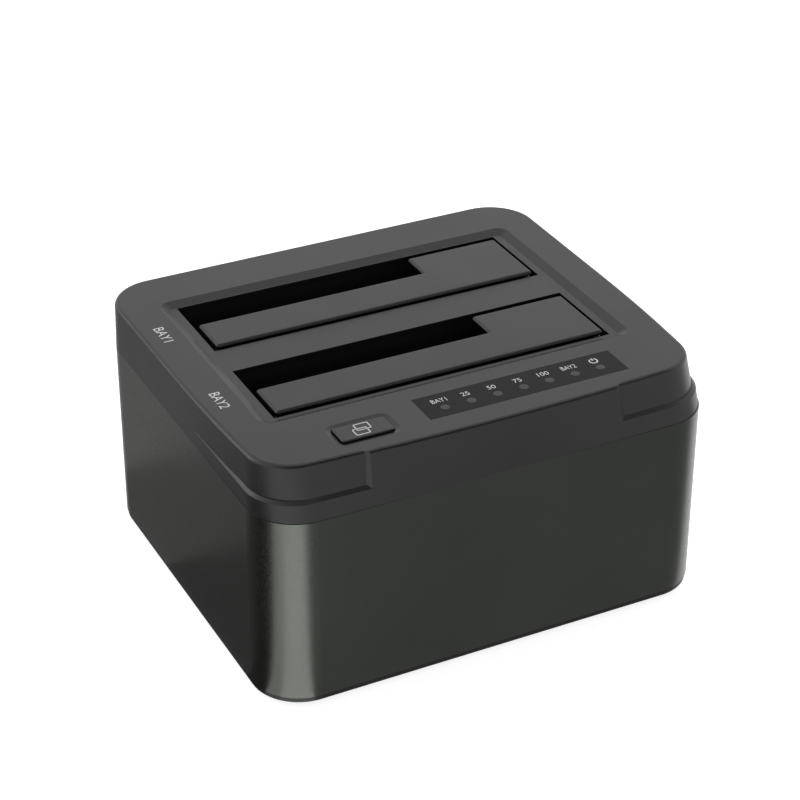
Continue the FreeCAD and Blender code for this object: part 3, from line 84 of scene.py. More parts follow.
def add(tree, kind, inputs=None, **settings):
    """Add a node with its settings; inputs gives each socket a value or another node's output."""
    made = tree.nodes.new(kind)
    for name, value in settings.items():
        setattr(made, name, value)
    for name, value in (inputs or {}).items():
        if isinstance(value, bpy.types.NodeSocket):
            tree.links.new(value, made.inputs[name])
        else:
            made.inputs[name].default_value = value
    return made


def start_material(name, colour, **shader):
    """A new material, its node tree, its shader and the object coordinates."""
    material = bpy.data.materials.new(name)
    material.use_nodes = True
    material.diffuse_color = rgba(colour)
    tree = material.node_tree
    tree.nodes.clear()
    surface = add(tree, "ShaderNodeBsdfPrincipled", {"Base Color": rgba(colour), **shader})
    add(tree, "ShaderNodeOutputMaterial", {"Surface": surface.outputs["BSDF"]})
    place = add(tree, "ShaderNodeTexCoord").outputs["Object"]
    return material, tree, surface, place


def grain(tree, surface, place, size, height, stretch=(1, 1, 1), detail=2.0):
    """Raise a fine grain of that size and height, both in metres, on a surface."""
    scaled = add(tree, "ShaderNodeMapping", {"Vector": place, "Scale": stretch})
    noise = add(tree, "ShaderNodeTexNoise", {"Vector": scaled.outputs["Vector"],
                                             "Scale": 1 / size, "Detail": detail})
    bump = add(tree, "ShaderNodeBump", {"Height": noise.outputs["Fac"], "Distance": height,
                                        "Strength": 1.0})
    tree.links.new(bump.outputs["Normal"], surface.inputs["Normal"])
    return noise.outputs["Fac"]


def mottle(tree, place, size, low, high, socket, colours=False):
    """Let a socket wander between two values, or two colours, over patches of that size."""
    cloud = add(tree, "ShaderNodeTexNoise", {"Vector": place, "Scale": 1 / size, "Detail": 3.0})
    ramp = add(tree, "ShaderNodeMapRange", {"Value": cloud.outputs["Fac"], "From Min": 0.3,
                                            "From Max": 0.7})
    if colours:
        mix = add(tree, "ShaderNodeMix", data_type="RGBA")
        tree.links.new(ramp.outputs["Result"], mix.inputs["Factor"])
        mix.inputs["A"].default_value = rgba(low)
        mix.inputs["B"].default_value = rgba(high)
        tree.links.new([out for out in mix.outputs if out.type == "RGBA"][0], socket)
        return
    ramp.inputs["To Min"].default_value = low
    ramp.inputs["To Max"].default_value = high
    tree.links.new(ramp.outputs["Result"], socket)


def shade(colour, share):
    return tuple(channel * share for channel in colour[:3])


def deselect():
    if bpy.context.object and bpy.context.object.mode != "OBJECT":
        bpy.ops.object.mode_set(mode="OBJECT")
    bpy.ops.object.select_all(action="DESELECT")


def only(*objects):
    """Select these objects alone; the last is the active one."""
    deselect()
    for thing in objects:
        thing.select_set(True)
    bpy.context.view_layer.objects.active = objects[-1]


def settle(thing, name, material, body):
    """Name a finished piece, put its place into its mesh, give it its material and hang it under
    its body.
    """
    only(thing)
    bpy.ops.object.transform_apply(location=True, rotation=True, scale=True)
    thing.name = name
    thing.data.name = name
    thing.data.materials.clear()
    thing.data.materials.append(material)
    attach(thing, body)
    return thing


def select_faces(mesh_object, keep):
    """In edit mode, select the faces that keep says yes to; return how many."""
    bpy.ops.object.mode_set(mode="OBJECT")
    mesh = mesh_object.data
    for group in (mesh.vertices, mesh.edges, mesh.polygons):
        group.foreach_set("select", [False] * len(group))
    count = 0
    for face in mesh.polygons:
        face.select = bool(keep(face))
        count += face.select
    bpy.ops.object.mode_set(mode="EDIT")
    bpy.ops.mesh.select_mode(type="FACE")
    return count


def select_edges(thing, keep):
    """In edit mode, select the edges that keep, given their two ends, says yes to."""
    bpy.ops.object.mode_set(mode="EDIT")
    bpy.ops.mesh.select_mode(type="EDGE")
    bpy.ops.object.mode_set(mode="OBJECT")
    mesh = thing.data
    for edge in mesh.edges:
        edge.select = keep(*(mesh.vertices[n].co for n in edge.vertices))
    bpy.ops.object.mode_set(mode="EDIT")


def bevelled(thing, width, segments=2):
    """Round the edges of a finished mesh for good."""
    only(thing)
    modifier = thing.modifiers.new("edges", "BEVEL")
    modifier.width = width
    modifier.segments = segments
    modifier.limit_method = "ANGLE"
    modifier.angle_limit = math.radians(40)
    bpy.ops.object.modifier_apply(modifier=modifier.name)


def copies(thing, offsets):
    """Copies of a mesh at these offsets, each with its own mesh, joined with the first."""
    parts = [thing]
    for offset in offsets:
        twin = thing.copy()
        twin.data = thing.data.copy()
        twin.location = thing.location + Vector(offset)
        bpy.context.collection.objects.link(twin)
        parts.append(twin)
    only(*parts[1:], parts[0])
    bpy.ops.object.join()
    return bpy.context.object


def middle(node):
    low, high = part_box(node)
    return Vector([(a + b) / 2 for a, b in zip(low, high)])


# ---------------------------------------------------------------- finishes

def satin_abs(name, colour, rough):
    """ABS moulded in a spark-eroded tool: an even, fine grain that breaks up reflections."""
    material, tree, surface, place = start_material(name, colour, Roughness=rough, IOR=1.53)
    grain(tree, surface, place, 0.45 * MM, 0.012 * MM)
    mottle(tree, place, 22 * MM, rough - 0.03, rough + 0.03, surface.inputs["Roughness"])
    mottle(tree, place, 35 * MM, shade(colour, 0.96), shade(colour, 1.04),
           surface.inputs["Base Color"], colours=True)
    return material


def anodised_aluminium(name, colour, rough):
    """Bead-blasted and dyed aluminium: a soft metallic sheen with a very fine sparkle."""
    material, tree, surface, place = start_material(name, colour, Metallic=1.0, Roughness=rough)
    # the blasted pits are some 0.05 mm wide and are drawn larger so that they can be seen
    grain(tree, surface, place, 0.3 * MM, 0.006 * MM)
    mottle(tree, place, 0.9 * MM, rough - 0.05, rough + 0.05, surface.inputs["Roughness"])
    mottle(tree, place, 40 * MM, shade(colour, 0.95), shade(colour, 1.05),
           surface.inputs["Base Color"], colours=True)
    return material


def plain_moulding(name, colour, rough, size=0.6, height=0.01):
    """A moulded plastic or rubber with a visible grain and a little patchiness."""
    material, tree, surface, place = start_material(name, colour, Roughness=rough, IOR=1.5)
    grain(tree, surface, place, size * MM, height * MM)
    mottle(tree, place, 12 * MM, shade(colour, 0.85), shade(colour, 1.15),
           surface.inputs["Base Color"], colours=True)
    return material


def plated_steel(name, colour, rough, stretch=(1, 1, 1)):
    """Plated or drawn steel: metallic, with fine tool marks along stretch's short sides."""
    material, tree, surface, place = start_material(name, colour, Metallic=1.0, Roughness=rough)
    grain(tree, surface, place, 0.3 * MM, 0.004 * MM, stretch)
    mottle(tree, place, 3 * MM, rough - 0.06, rough + 0.08, surface.inputs["Roughness"])
    return material


def solder_resist(name, colour):
    """Green resist over copper tracks, which show as slightly raised, lighter lines."""
    material, tree, surface, place = start_material(name, colour, Roughness=0.35, IOR=1.55)
    tracks = add(tree, "ShaderNodeTexBrick", {
        "Vector": place, "Scale": 1 / (9 * MM), "Mortar Size": 0.035,
        "Color1": rgba(colour), "Color2": rgba(shade(colour, 0.85)),
        "Mortar": rgba(shade(colour, 1.7))})
    tree.links.new(tracks.outputs["Color"], surface.inputs["Base Color"])
    bump = add(tree, "ShaderNodeBump", {"Height": tracks.outputs["Fac"], "Distance": 0.03 * MM,
                                        "Strength": 0.6})
    tree.links.new(bump.outputs["Normal"], surface.inputs["Normal"])
    return material


def smoked_acrylic(name, colour, rough):
    """Tinted acrylic with a satin top film."""
    material, tree, surface, place = start_material(name, colour, Roughness=rough, IOR=1.49)
    surface.inputs["Specular IOR Level"].default_value = 0.12
    grain(tree, surface, place, 0.7 * MM, 0.003 * MM)
    mottle(tree, place, 18 * MM, shade(colour, 0.95), shade(colour, 1.05),
           surface.inputs["Base Color"], colours=True)
    return material


def printed_ink(name, colour):
    """Pad-printed ink: flat, slightly uneven in cover."""
    material, tree, surface, place = start_material(name, colour, Roughness=0.6, IOR=1.45)
    mottle(tree, place, 0.5 * MM, shade(colour, 0.86), colour, surface.inputs["Base Color"],
           colours=True)
    return material


def make_finishes(look):
    """Every material of the duplicator, by the name of its slot."""
    return {
        "satin_abs": satin_abs("satin_black_abs", look.cover_colour, look.cover_roughness),
        "anodised_aluminium": anodised_aluminium("dyed_bead_blasted_aluminium",
                                                 look.sleeve_colour, look.sleeve_roughness),
        # ABS in the wells and base: dull black, with a coarser grain than the cover's
        "black_abs": plain_moulding("black_abs_structural", linear("#141414"), 0.55),
        # moulded rubber: almost no shine, a little dusty
        "black_rubber": plain_moulding("black_rubber_matt", linear("#1b1b1a"), 0.8, 0.5, 0.03),
        # glass-filled nylon: the fibres near its skin make it uneven and half matt
        "black_nylon": plain_moulding("black_glass_filled_nylon", linear("#121213"), 0.5, 0.4,
                                      0.015),
        "blue_nylon": plain_moulding("blue_nylon_insulator", linear("#1c5fb4"), 0.42, 0.4, 0.008),
        # zinc is bluish and soft, ground rod is drawn bright along its length
        "zinc_steel": plated_steel("zinc_plated_steel", linear("#c4c4bf"), 0.32),
        "bright_steel": plated_steel("ground_steel_rod", linear("#cfcfcd"), 0.25, (0.1, 1, 1)),
        "spring_steel": plated_steel("drawn_spring_wire", linear("#a9a9a8"), 0.3),
        # nickel shines warm, with rolling marks; tin and gold are thin and slightly worn
        "nickel_shell": plated_steel("nickel_plated_sheet", linear("#cbc8bf"), 0.24, (1, 0.1, 1)),
        "tinned_brass": plated_steel("tinned_brass_blade", linear("#d2cdbb"), 0.35),
        "gold_contact": plated_steel("gold_flashed_contact", linear("#e2b95f"), 0.28),
        "circuit_board": solder_resist("green_solder_resist", linear("#1f5a34")),
        # moulded epoxy and ground ferrite: both matt, the ferrite grey and gritty
        "chip_epoxy": plain_moulding("black_epoxy_package", linear("#1a1a1b"), 0.6, 0.25, 0.01),
        "capacitor_can": plated_steel("drawn_aluminium_can", linear("#c9cbce"), 0.3),
        "ferrite": plain_moulding("ground_ferrite", linear("#2b2b2c"), 0.65, 0.3, 0.02),
        # acrylic: the window nearly black, the guide clear, the lenses a dim grey when unlit
        "smoked_acrylic": smoked_acrylic("smoked_acrylic_film", look.window_colour, 0.34),
        "clear_acrylic": smoked_acrylic("clear_acrylic_guide", linear("#c9d0d4"), 0.15),
        "led_package": plain_moulding("white_light_package", linear("#e6e6dc"), 0.4, 0.3, 0.004),
        "milky_lens": smoked_acrylic("milky_acrylic_lens", linear("#4a4a4a"), 0.3),
        "white_ink": printed_ink("white_pad_print", look.ink_colour),
    }


FINISHES = {}


def finish_nodes(*names):
    """Give CAD nodes the material of their own slot."""
    slots = {row["node"]: row["material_slot"] for row in frame["record"]["subparts"]}
    for name in names:
        node = frame["nodes"][name]
        node.data.materials.clear()
        node.data.materials.append(FINISHES[slots[name]])


# ---------------------------------------------------------------- settings

class LookSettings(bpy.types.PropertyGroup):
    """Colours and finishes of the outside."""

    cover_colour: FloatVectorProperty(
        name="Cover", description="Colour of the satin plastic cover, flaps and button",
        subtype="COLOR", size=3, min=0, max=1, default=linear("#181818"))
    cover_roughness: FloatProperty(
        name="Cover roughness", description="How matt the cover's satin grain is",
        subtype="FACTOR", min=0.05, max=1, default=0.36)
    sleeve_colour: FloatVectorProperty(
        name="Sleeve", description="Colour of the dyed aluminium sleeve",
        subtype="COLOR", size=3, min=0, max=1, default=linear("#595c57"))
    sleeve_roughness: FloatProperty(
        name="Sleeve roughness", description="How matt the blasted aluminium is",
        subtype="FACTOR", min=0.05, max=1, default=0.33)
    window_colour: FloatVectorProperty(
        name="Window", description="Colour of the smoked window over the lights",
        subtype="COLOR", size=3, min=0, max=1, default=linear("#0f0f10"))
    ink_colour: FloatVectorProperty(
        name="Ink", description="Colour of the printed marks",
        subtype="COLOR", size=3, min=0, max=1, default=linear("#e6e6e6"))


class MarkSettings(bpy.types.PropertyGroup):
    """What is printed on the cover and how large."""

    front_bay: StringProperty(name="Front bay", description="Mark beside the front bay",
                              default="BAY2")
    rear_bay: StringProperty(name="Rear bay", description="Mark beside the rear bay",
                             default="BAY1")
    bay_height: FloatProperty(
        name="Bay mark height", description="Height of the letters beside the bays",
        subtype="DISTANCE", unit="LENGTH", min=0.0005, default=3.0 * MM)
    bay_length: FloatProperty(
        name="Bay mark length", description="Length of the word beside a bay",
        subtype="DISTANCE", unit="LENGTH", min=0.001, default=8.7 * MM)
    bay_margin: FloatProperty(
        name="Bay mark margin", description="From the cover's left side to the marks' middle",
        subtype="DISTANCE", unit="LENGTH", min=0.001, default=6.6 * MM)
    light_height: FloatProperty(
        name="Light mark height", description="Height of the numbers beside the lights",
        subtype="DISTANCE", unit="LENGTH", min=0.0005, default=1.9 * MM)
    ink_depth: FloatProperty(
        name="Ink depth", description="Thickness of the printed ink",
        subtype="DISTANCE", unit="LENGTH", min=0.00001, default=0.03 * MM)


class FlapSettings(bpy.types.PropertyGroup):
    """Sizes of the sprung flaps over the bays, measured from each bay's front edge."""

    thickness: FloatProperty(
        name="Thickness", description="Thickness of a flap's plate", subtype="DISTANCE",
        unit="LENGTH", min=0.0005, default=1.5 * MM)
    below_deck: FloatProperty(
        name="Below the deck", description="How far a flap's face lies under the deck",
        subtype="DISTANCE", unit="LENGTH", min=0, default=0.15 * MM)
    front_gap: FloatProperty(
        name="Front gap", description="Gap between the bay's front edge and a flap",
        subtype="DISTANCE", unit="LENGTH", min=0.0003, default=1.15 * MM)
    strip_depth: FloatProperty(
        name="Strip depth", description="Depth of a flap where it leaves the slot open",
        subtype="DISTANCE", unit="LENGTH", min=0.001, default=13.6 * MM)
    tab_depth: FloatProperty(
        name="Tab depth", description="Depth of a flap at its full part", subtype="DISTANCE",
        unit="LENGTH", min=0.001, default=23.9 * MM)
    left_end: FloatProperty(
        name="Left end", description="Where a flap ends on the left", subtype="DISTANCE",
        unit="LENGTH", default=-50.85 * MM)
    right_end: FloatProperty(
        name="Right end", description="Where a flap's plate ends on the right",
        subtype="DISTANCE", unit="LENGTH", default=50.55 * MM)
    neck_end: FloatProperty(
        name="Neck end", description="Where a flap's neck ends, to leave room for its spring",
        subtype="DISTANCE", unit="LENGTH", default=49.4 * MM)
    notch: FloatProperty(
        name="Notch", description="Where a flap's plate steps back to its full depth",
        subtype="DISTANCE", unit="LENGTH", default=21.1 * MM)
    corner_radius: FloatProperty(
        name="Corner radius", description="Radius of the free corners of a flap's plate",
        subtype="DISTANCE", unit="LENGTH", min=0.0001, default=0.8 * MM)


class SpringSettings(bpy.types.PropertyGroup):
    """Sizes of the torsion springs that hold the flaps shut."""

    wire: FloatProperty(
        name="Wire", description="Radius of the spring's wire", subtype="DISTANCE",
        unit="LENGTH", min=0.00005, default=0.15 * MM)
    radius: FloatProperty(
        name="Coil radius", description="From the pin's middle to the middle of the wire",
        subtype="DISTANCE", unit="LENGTH", min=0.0003, default=0.92 * MM)
    pitch: FloatProperty(
        name="Pitch", description="Spacing of the coil's turns", subtype="DISTANCE",
        unit="LENGTH", min=0.0001, default=0.36 * MM)
    turns: FloatProperty(
        name="Turns", description="Turns of the coil", min=0.5, default=2.25)
    start: FloatProperty(
        name="Start", description="Where the coil starts along the pin", subtype="DISTANCE",
        unit="LENGTH", default=50.06 * MM)
    lean: FloatProperty(
        name="Lean", description="Slope of the leg under the flap", subtype="ANGLE",
        unit="ROTATION", default=math.radians(8.3))


class ContactSettings(bpy.types.PropertyGroup):
    """Sizes of the spring contacts in the connectors."""

    pitch: FloatProperty(
        name="Pitch", description="Spacing of the contacts in a drive connector",
        subtype="DISTANCE", unit="LENGTH", min=0.0005, default=1.27 * MM)
    width: FloatProperty(
        name="Width", description="Width of one contact", subtype="DISTANCE", unit="LENGTH",
        min=0.0001, default=0.6 * MM)
    thickness: FloatProperty(
        name="Thickness", description="Thickness of one contact", subtype="DISTANCE",
        unit="LENGTH", min=0.00005, default=0.2 * MM)


class StageSettings(bpy.types.PropertyGroup):
    """Brightness of the lights and the surroundings."""

    key_power: FloatProperty(
        name="Key", description="Power of the large light behind on the right", unit="POWER",
        min=0, default=12.0)
    side_power: FloatProperty(
        name="Side", description="Power of the soft light at the left", unit="POWER",
        min=0, default=3.0)
    world_strength: FloatProperty(
        name="Surroundings", description="Brightness of the surroundings", min=0, default=0.35)


# ---------------------------------------------------------------- printed marks

def printed_word(text, height, length, place, turn, depth):
    """A word as a thin raised mesh, fitted to a height and length, centred on a place."""
    deselect()
    bpy.ops.object.text_add(location=(0, 0, 0))
    word = bpy.context.object
    word.data.body = text
    word.data.align_x = "CENTER"
    word.data.align_y = "CENTER"
    word.data.resolution_u = 4
    word.data.extrude = 0.01
    only(word)
    bpy.ops.object.convert(target="MESH")
    word = bpy.context.object
    corners = [Vector(corner) for corner in word.bound_box]
    low = Vector([min(c[n] for c in corners) for n in range(3)])
    high = Vector([max(c[n] for c in corners) for n in range(3)])
    size, centre = high - low, (high + low) / 2
    fit = height / size.y
    stretch = length / size.x if length else fit
    word.data.transform(Matrix.Translation(-centre))
    word.data.transform(Matrix.Diagonal((stretch, fit, depth / size.z, 1)))
    word.data.transform(Matrix.Rotation(turn, 4, "Z"))
    word.data.transform(Matrix.Translation(Vector(place) + Vector((0, 0, depth / 2 + 0.005 * MM))))
    word.data.update()
    only(word)
    bpy.ops.object.mode_set(mode="EDIT")
    bpy.ops.mesh.select_all(action="SELECT")
    bpy.ops.mesh.remove_doubles(threshold=1e-7)
    bpy.ops.mesh.normals_make_consistent(inside=False)
    bpy.ops.object.mode_set(mode="OBJECT")
    return word


def raised_outline(wide, deep, line, place, depth):
    """A rectangular outline in ink, with rounded corners, centred on a place."""
    deselect()
    bpy.ops.mesh.primitive_plane_add(size=1, location=(0, 0, 0))
    mark = bpy.context.object
    mark.data.transform(Matrix.Diagonal((wide, deep, 1, 1)))
    only(mark)
    bpy.ops.object.mode_set(mode="EDIT")
    bpy.ops.mesh.select_all(action="SELECT")
    bpy.ops.mesh.bevel(offset=line * 1.6, segments=4, affect="VERTICES")
    bpy.ops.mesh.select_all(action="SELECT")
    bpy.ops.mesh.inset(thickness=line)
    bpy.ops.mesh.delete(type="FACE")
    bpy.ops.mesh.select_all(action="SELECT")
    bpy.ops.mesh.extrude_region_move(TRANSFORM_OT_translate={"value": (0, 0, depth)})
    bpy.ops.mesh.select_all(action="SELECT")
    bpy.ops.mesh.normals_make_consistent(inside=False)
    bpy.ops.object.mode_set(mode="OBJECT")
    mark.location = Vector(place) + Vector((0, 0, 0.005 * MM))
    return mark


def bay_middle(label):
    """Where a bay's middle lies front to back."""
    return middle(f"{label}_flap_pin").y + HINGE_SETBACK + BAY_DEPTH / 2


class DUPLICATOR_OT_bay_marks(bpy.types.Operator):
    """Print a mark beside each bay on the cover's left margin."""

    bl_idname = "duplicator.bay_marks"
    bl_label = "Bay marks"

    def execute(self, context):
        marks = context.scene.duplicator_marks
        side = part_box("top_cover")[0][0] + marks.bay_margin
        for label, text in (("rear", marks.rear_bay), ("front", marks.front_bay)):
            word = printed_word(text, marks.bay_height, marks.bay_length,
                                (side, bay_middle(label) - 0.8 * MM, DECK), -math.pi / 2,
                                marks.ink_depth)
            settle(word, f"{label}_bay_mark", FINISHES["white_ink"], CASE)
        return {"FINISHED"}


def light_places():
    """The middle of each status light, from left to right."""
    low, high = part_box("status_lights")
    half = 1.0 * MM
    first, last = low[0] + half, high[0] - half
    y = (low[1] + high[1]) / 2
    return [(first + (last - first) * n / 6, y) for n in range(7)]


class DUPLICATOR_OT_light_marks(bpy.types.Operator):
    """Print bay names and plain numbers behind the first six status lights."""

    bl_idname = "duplicator.light_marks"
    bl_label = "Light marks"

    def execute(self, context):
        marks = context.scene.duplicator_marks
        texts = ("BAY1", "25", "50", "75", "100", "BAY2")
        behind = 3.8 * MM
        words = []
        for text, (x, y) in zip(texts, light_places()):
            length = 4.6 * MM if len(text) == 4 else None
            words.append(printed_word(text, marks.light_height, length, (x, y + behind, DECK), 0,
                                      marks.ink_depth))
        only(*words)
        bpy.ops.object.join()
        settle(bpy.context.object, "light_marks", FINISHES["white_ink"], CASE)
        return {"FINISHED"}


def standby_sign(radius, line, place, depth):
    """A broken ring with a short upright in its gap."""
    deselect()
    bpy.ops.mesh.primitive_circle_add(vertices=40, radius=radius, fill_type="NGON")
    ring = bpy.context.object
    bpy.ops.object.mode_set(mode="EDIT")
    bpy.ops.mesh.select_all(action="SELECT")
    bpy.ops.mesh.inset(thickness=line)
    bpy.ops.mesh.delete(type="FACE")
    gap = 1.3 * line
    select_faces(ring, lambda face: abs(face.center.x) < gap and face.center.y > 0)
    bpy.ops.mesh.delete(type="FACE")
    bpy.ops.mesh.select_all(action="SELECT")
    bpy.ops.mesh.extrude_region_move(TRANSFORM_OT_translate={"value": (0, 0, depth)})
    bpy.ops.mesh.select_all(action="SELECT")
    bpy.ops.mesh.normals_make_consistent(inside=False)
    bpy.ops.object.mode_set(mode="OBJECT")
    deselect()
    bpy.ops.mesh.primitive_cube_add(size=1, location=(0, radius * 0.62, depth / 2))
    bar = bpy.context.object
    bar.scale = (line, radius * 0.85, depth)
    bevelled(bar, line * 0.2)
    only(bar, ring)
    bpy.ops.object.join()
    sign = bpy.context.object
    sign.location = Vector(place) + Vector((0, 0, 0.005 * MM))
    return sign


class DUPLICATOR_OT_standby_mark(bpy.types.Operator):
    """Print the stand-by sign behind the last light."""

    bl_idname = "duplicator.standby_mark"
    bl_label = "Stand-by mark"

    def execute(self, context):
        marks = context.scene.duplicator_marks
        x, y = light_places()[-1]
        sign = standby_sign(1.35 * MM, 0.4 * MM, (x, y + 3.8 * MM, DECK), marks.ink_depth)
        settle(sign, "standby_mark", FINISHES["white_ink"], CASE)
        return {"FINISHED"}


class DUPLICATOR_OT_button_mark(bpy.types.Operator):
    """Print two overlapping sheets, the plain sign for a copy, on the button."""

    bl_idname = "duplicator.button_mark"
    bl_label = "Button mark"

    def execute(self, context):
        marks = context.scene.duplicator_marks
        centre = middle("copy_button")
        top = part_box("copy_button")[1][2]
        sheets = [raised_outline(4.3 * MM, 3.3 * MM, 0.32 * MM,
                                 (centre.x + shift_x, centre.y + shift_y, top), marks.ink_depth)
                  for shift_x, shift_y in ((0.3 * MM, 1.2 * MM), (-0.9 * MM, -0.9 * MM))]
        only(*sheets)
        bpy.ops.object.join()
        settle(bpy.context.object, "button_mark", FINISHES["white_ink"], "copy_button_body")
        return {"FINISHED"}


class DUPLICATOR_OT_light_lenses(bpy.types.Operator):
    """Set a milky lens over each status light, flush with the window."""

    bl_idname = "duplicator.light_lenses"
    bl_label = "Light lenses"

    def execute(self, context):
        deselect()
        x, y = light_places()[0]
        bpy.ops.mesh.primitive_circle_add(vertices=32, radius=1.3 * MM, fill_type="NGON",
                                          location=(x, y, DECK + 0.004 * MM))
        lens = bpy.context.object
        bpy.ops.object.mode_set(mode="EDIT")
        bpy.ops.mesh.select_all(action="SELECT")
        bpy.ops.mesh.extrude_region_move(
            TRANSFORM_OT_translate={"value": (0, 0, 0.02 * MM)})
        bpy.ops.mesh.inset(thickness=0.3 * MM)
        bpy.ops.transform.translate(value=(0, 0, 0.015 * MM))
        bpy.ops.mesh.select_all(action="SELECT")
        bpy.ops.mesh.normals_make_consistent(inside=False)
        bpy.ops.object.mode_set(mode="OBJECT")
        places = light_places()
        whole = copies(lens, [(px - x, 0, 0) for px, _ in places[1:]])
        settle(whole, "light_lenses", FINISHES["milky_lens"], CASE)
        return {"FINISHED"}


# ---------------------------------------------------------------- flaps and springs

# the neck's outline in millimetres: back from the bay's front edge, and up from the pin
NECK_OUTLINE = ((1.15, 2.65), (0.95, 1.35), (-1.0, 0.78), (-1.2, -0.9), (1.15, 0.0),
                (2.75, 1.95), (2.75, 2.65))
KNUCKLE_RADIUS = 1.2 * MM
KNUCKLE_WALL = 0.55 * MM
COIL_STEPS = 24
# how far below the coil the foot's points lie, and how far out along the leg its points lie
FOOT_REACH = (3.5 * MM, 1.8 * MM, 0.6 * MM)
LEG_REACH = (0.0, 1.5 * MM, 3.0 * MM, 4.5 * MM, 5.84 * MM)


def pushed_out(points, left, right):
    """A closed bar with this outline of (y, z) points, from left to right."""
    deselect()
    bpy.ops.mesh.primitive_circle_add(vertices=len(points), radius=1, fill_type="NGON",
                                      location=(0, 0, 0))
    bar = bpy.context.object
    for vertex, (y, z) in zip(bar.data.vertices, points):
        vertex.co = (left, y, z)
    bpy.ops.object.mode_set(mode="EDIT")
    bpy.ops.mesh.select_all(action="SELECT")
    bpy.ops.mesh.extrude_region_move(TRANSFORM_OT_translate={"value": (right - left, 0, 0)})
    bpy.ops.mesh.select_all(action="SELECT")
    bpy.ops.mesh.normals_make_consistent(inside=False)
    bpy.ops.object.mode_set(mode="OBJECT")
    return bar


def flap_plate(sizes, front):
    """The L-shaped plate of a flap, with its free corners rounded."""
    left, right, notch = sizes.left_end, sizes.right_end, sizes.notch
    top = DECK - sizes.below_deck
    deselect()
    bpy.ops.mesh.primitive_cube_add(size=1, location=(0, 0, 0))
    plate = bpy.context.object
    plate.data.transform(Matrix.Diagonal((right - left, sizes.strip_depth, sizes.thickness, 1)))
    plate.data.transform(Matrix.Translation(((left + right) / 2, front + sizes.strip_depth / 2,
                                             top - sizes.thickness / 2)))
    bpy.ops.object.mode_set(mode="EDIT")
    bpy.ops.mesh.select_all(action="SELECT")
    bpy.ops.mesh.bisect(plane_co=(notch, 0, 0), plane_no=(1, 0, 0))
    select_faces(plate, lambda face: face.normal.y > 0.9 and face.center.x > notch)
    bpy.ops.mesh.extrude_region_move(
        TRANSFORM_OT_translate={"value": (0, sizes.tab_depth - sizes.strip_depth, 0)})
    bpy.ops.mesh.select_all(action="SELECT")
    bpy.ops.mesh.dissolve_limited(angle_limit=math.radians(1))
    select_edges(plate, lambda one, other: abs(one.z - other.z) > sizes.thickness * 0.9
                 and one.y > front + 1 * MM)
    bpy.ops.mesh.bevel(offset=sizes.corner_radius, segments=5, affect="EDGES")
    bpy.ops.object.mode_set(mode="OBJECT")
    bevelled(plate, 0.12 * MM)
    return plate


class DUPLICATOR_OT_flaps(bpy.types.Operator):
    """Model each bay's flap: an L-shaped plate on a neck that curls round the hinge pin."""

    bl_idname = "duplicator.flaps"
    bl_label = "Flaps"

    def execute(self, context):
        sizes = context.scene.duplicator_flaps
        for label, body in BAY_BODIES.items():
            pin = middle(f"{label}_flap_pin")
            edge = pin.y + HINGE_SETBACK
            plate = flap_plate(sizes, edge + sizes.front_gap)
            neck = pushed_out([(edge + y * MM, pin.z + z * MM) for y, z in NECK_OUTLINE],
                              sizes.left_end, sizes.neck_end)
            bevelled(neck, 0.1 * MM)
            deselect()
            bpy.ops.mesh.primitive_circle_add(vertices=32, radius=KNUCKLE_RADIUS,
                                              fill_type="NGON", location=(0, 0, 0))
            knuckle = bpy.context.object
            bpy.ops.object.mode_set(mode="EDIT")
            bpy.ops.mesh.select_all(action="SELECT")
            bpy.ops.mesh.inset(thickness=KNUCKLE_WALL)
            bpy.ops.mesh.delete(type="FACE")
            bpy.ops.mesh.select_all(action="SELECT")
            bpy.ops.mesh.extrude_region_move(
                TRANSFORM_OT_translate={"value": (0, 0, sizes.neck_end - sizes.left_end)})
            bpy.ops.mesh.select_all(action="SELECT")
            bpy.ops.mesh.normals_make_consistent(inside=False)
            bpy.ops.object.mode_set(mode="OBJECT")
            knuckle.data.transform(Matrix.Rotation(math.pi / 2, 4, "Y"))
            knuckle.data.transform(Matrix.Translation((sizes.left_end, pin.y, pin.z)))
            only(neck, knuckle, plate)
            bpy.ops.object.join()
            flap = settle(bpy.context.object, f"{label}_flap_moulding", FINISHES["satin_abs"],
                          body)
            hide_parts(f"{label}_flap")
        return {"FINISHED"}


def bent_wire(points, radius):
    """A round wire through these points, closed at both ends, as a mesh."""
    deselect()
    line = bpy.data.curves.new("wire", "CURVE")
    line.dimensions = "3D"
    run = line.splines.new("POLY")
    run.points.add(len(points) - 1)
    for point, place in zip(run.points, points):
        point.co = (*place, 1)
    line.bevel_depth = radius
    line.bevel_resolution = 3
    line.use_fill_caps = True
    wire = bpy.data.objects.new("wire", line)
    bpy.context.collection.objects.link(wire)
    only(wire)
    bpy.ops.object.convert(target="MESH")
    return bpy.context.object


